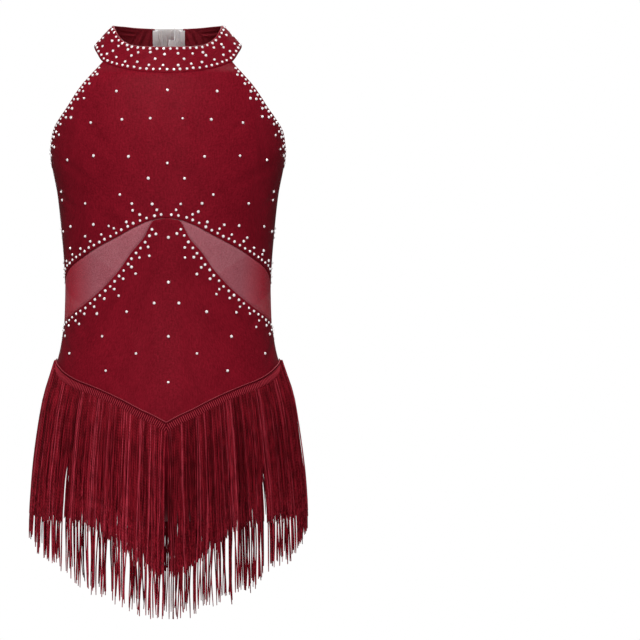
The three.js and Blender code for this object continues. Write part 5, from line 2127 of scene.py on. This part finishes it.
@dataclass
class Studio:
    """Pale floor and surroundings, soft light, and the camera.

    Attributes:
        distance: Distance from the camera to the garment.
        aim: X and Z that the middle of the picture shows, in metres.
        frame_width: Breadth of the picture at the garment, in metres.
    """

    distance: float = 8.0
    aim: tuple[float, float] = (0.1596, -0.28875)
    frame_width: float = 0.672
    sensor: float = 36.0
    floor: float = -7.0

    def add_floor(self) -> None:
        """Adds a wide pale paper below, white to the eye."""
        material, g, shader = new_material("studio_paper")
        grain = g.add("ShaderNodeTexNoise", Vector=object_place(g, 40.0), Detail=2.0)
        grey = (0.86, 0.86, 0.86)
        dark = tuple(0.985 * part for part in grey)
        seen = g.add("ShaderNodeLightPath").outputs["Is Camera Ray"]
        g.fill(shader, Base_Color=g.mix(grain.outputs[0], grey, dark), Roughness=0.95,
            Emission_Color=(1.0, 1.0, 1.0), Emission_Strength=g.math("MULTIPLY", seen, 0.9))
        wide = 30.0
        corners = [(-wide, -wide), (wide, -wide), (wide, wide), (-wide, wide)]
        points = np.array([(x, y, self.floor) for x, y in corners]) / MM
        obj = make_mesh("studio_floor", points, [(0, 1, 2, 3)], smooth=False)
        obj.data.materials.append(material)

    def light(self, name: str, place: Vector, size: float, power: float) -> None:
        """Adds a soft light that faces the garment."""
        data = bpy.data.lights.new(name, "AREA")
        data.shape = "SQUARE"
        data.size = size
        data.energy = power
        obj = bpy.data.objects.new(name, data)
        obj.location = place
        aim = Vector((0.0, 0.0, self.aim[1])) - place
        obj.rotation_euler = aim.to_track_quat("-Z", "Y").to_euler()
        bpy.context.scene.collection.objects.link(obj)

    def world(self, strength: float) -> bpy.types.World:
        """Even pale surroundings: white to the eye, and a weak light on the garment."""
        world = bpy.data.worlds.new("studio_world")
        world.use_nodes = True
        g = Graph(world.node_tree)
        g.tree.nodes.clear()
        tone = (1.0, 0.99, 0.985)
        weak = g.add("ShaderNodeBackground", Color=tone, Strength=strength)
        white = g.add("ShaderNodeBackground", Color=(1.0, 1.0, 1.0), Strength=1.0)
        both = g.add("ShaderNodeMixShader", Fac=g.add("ShaderNodeLightPath").outputs[0])
        g.feed(both.inputs[1], weak.outputs[0])
        g.feed(both.inputs[2], white.outputs[0])
        g.feed(g.add("ShaderNodeOutputWorld").inputs["Surface"], both.outputs[0])
        return world

    def build(self) -> None:
        """Adds the floor, the lights, the world and the camera."""
        self.add_floor()
        for name, way in (("front", -1.0), ("back", 1.0)):
            self.light(f"{name}_key", Vector((way * 0.25, way * 2.0, 2.0)), 1.1, 62.0)
            self.light(f"{name}_fill", Vector((way * -0.3, way * 3.2, 0.0)), 1.1, 14.0)
            self.light(f"{name}_low", Vector((way * 0.4, way * 3.0, -1.6)), 1.2, 6.0)
        for name, x in (("left", 2.8), ("right", -2.8)):
            self.light(f"side_{name}", Vector((x, 0.0, 0.6)), 1.3, 1.0)
        scene = bpy.context.scene
        scene.world = self.world(0.16)
        scene.view_settings.view_transform = "Standard"
        camera = bpy.data.cameras.new("camera")
        camera.sensor_width = self.sensor
        camera.lens = self.sensor * self.distance / self.frame_width
        camera.clip_end = 100.0
        obj = bpy.data.objects.new("camera", camera)
        obj.location = (self.aim[0], -self.distance, self.aim[1])
        obj.rotation_euler = (math.radians(90), 0.0, 0.0)
        scene.collection.objects.link(obj)
        scene.camera = obj


def main() -> None:
    """Builds the garment and the studio in order."""
    Studio().build()
    PanelSet(Side.FRONT).build()
    PanelSet(Side.BACK).build()
    Bindings().build()
    CollarBand().build()
    NeckClasp().build()
    StoneWork().build()
    Sewing().build()
    Fringe(Side.FRONT, 5).build()
    Fringe(Side.BACK, 8, partings=BACK_PARTINGS).build()


if __name__ == "__main__":
    main()
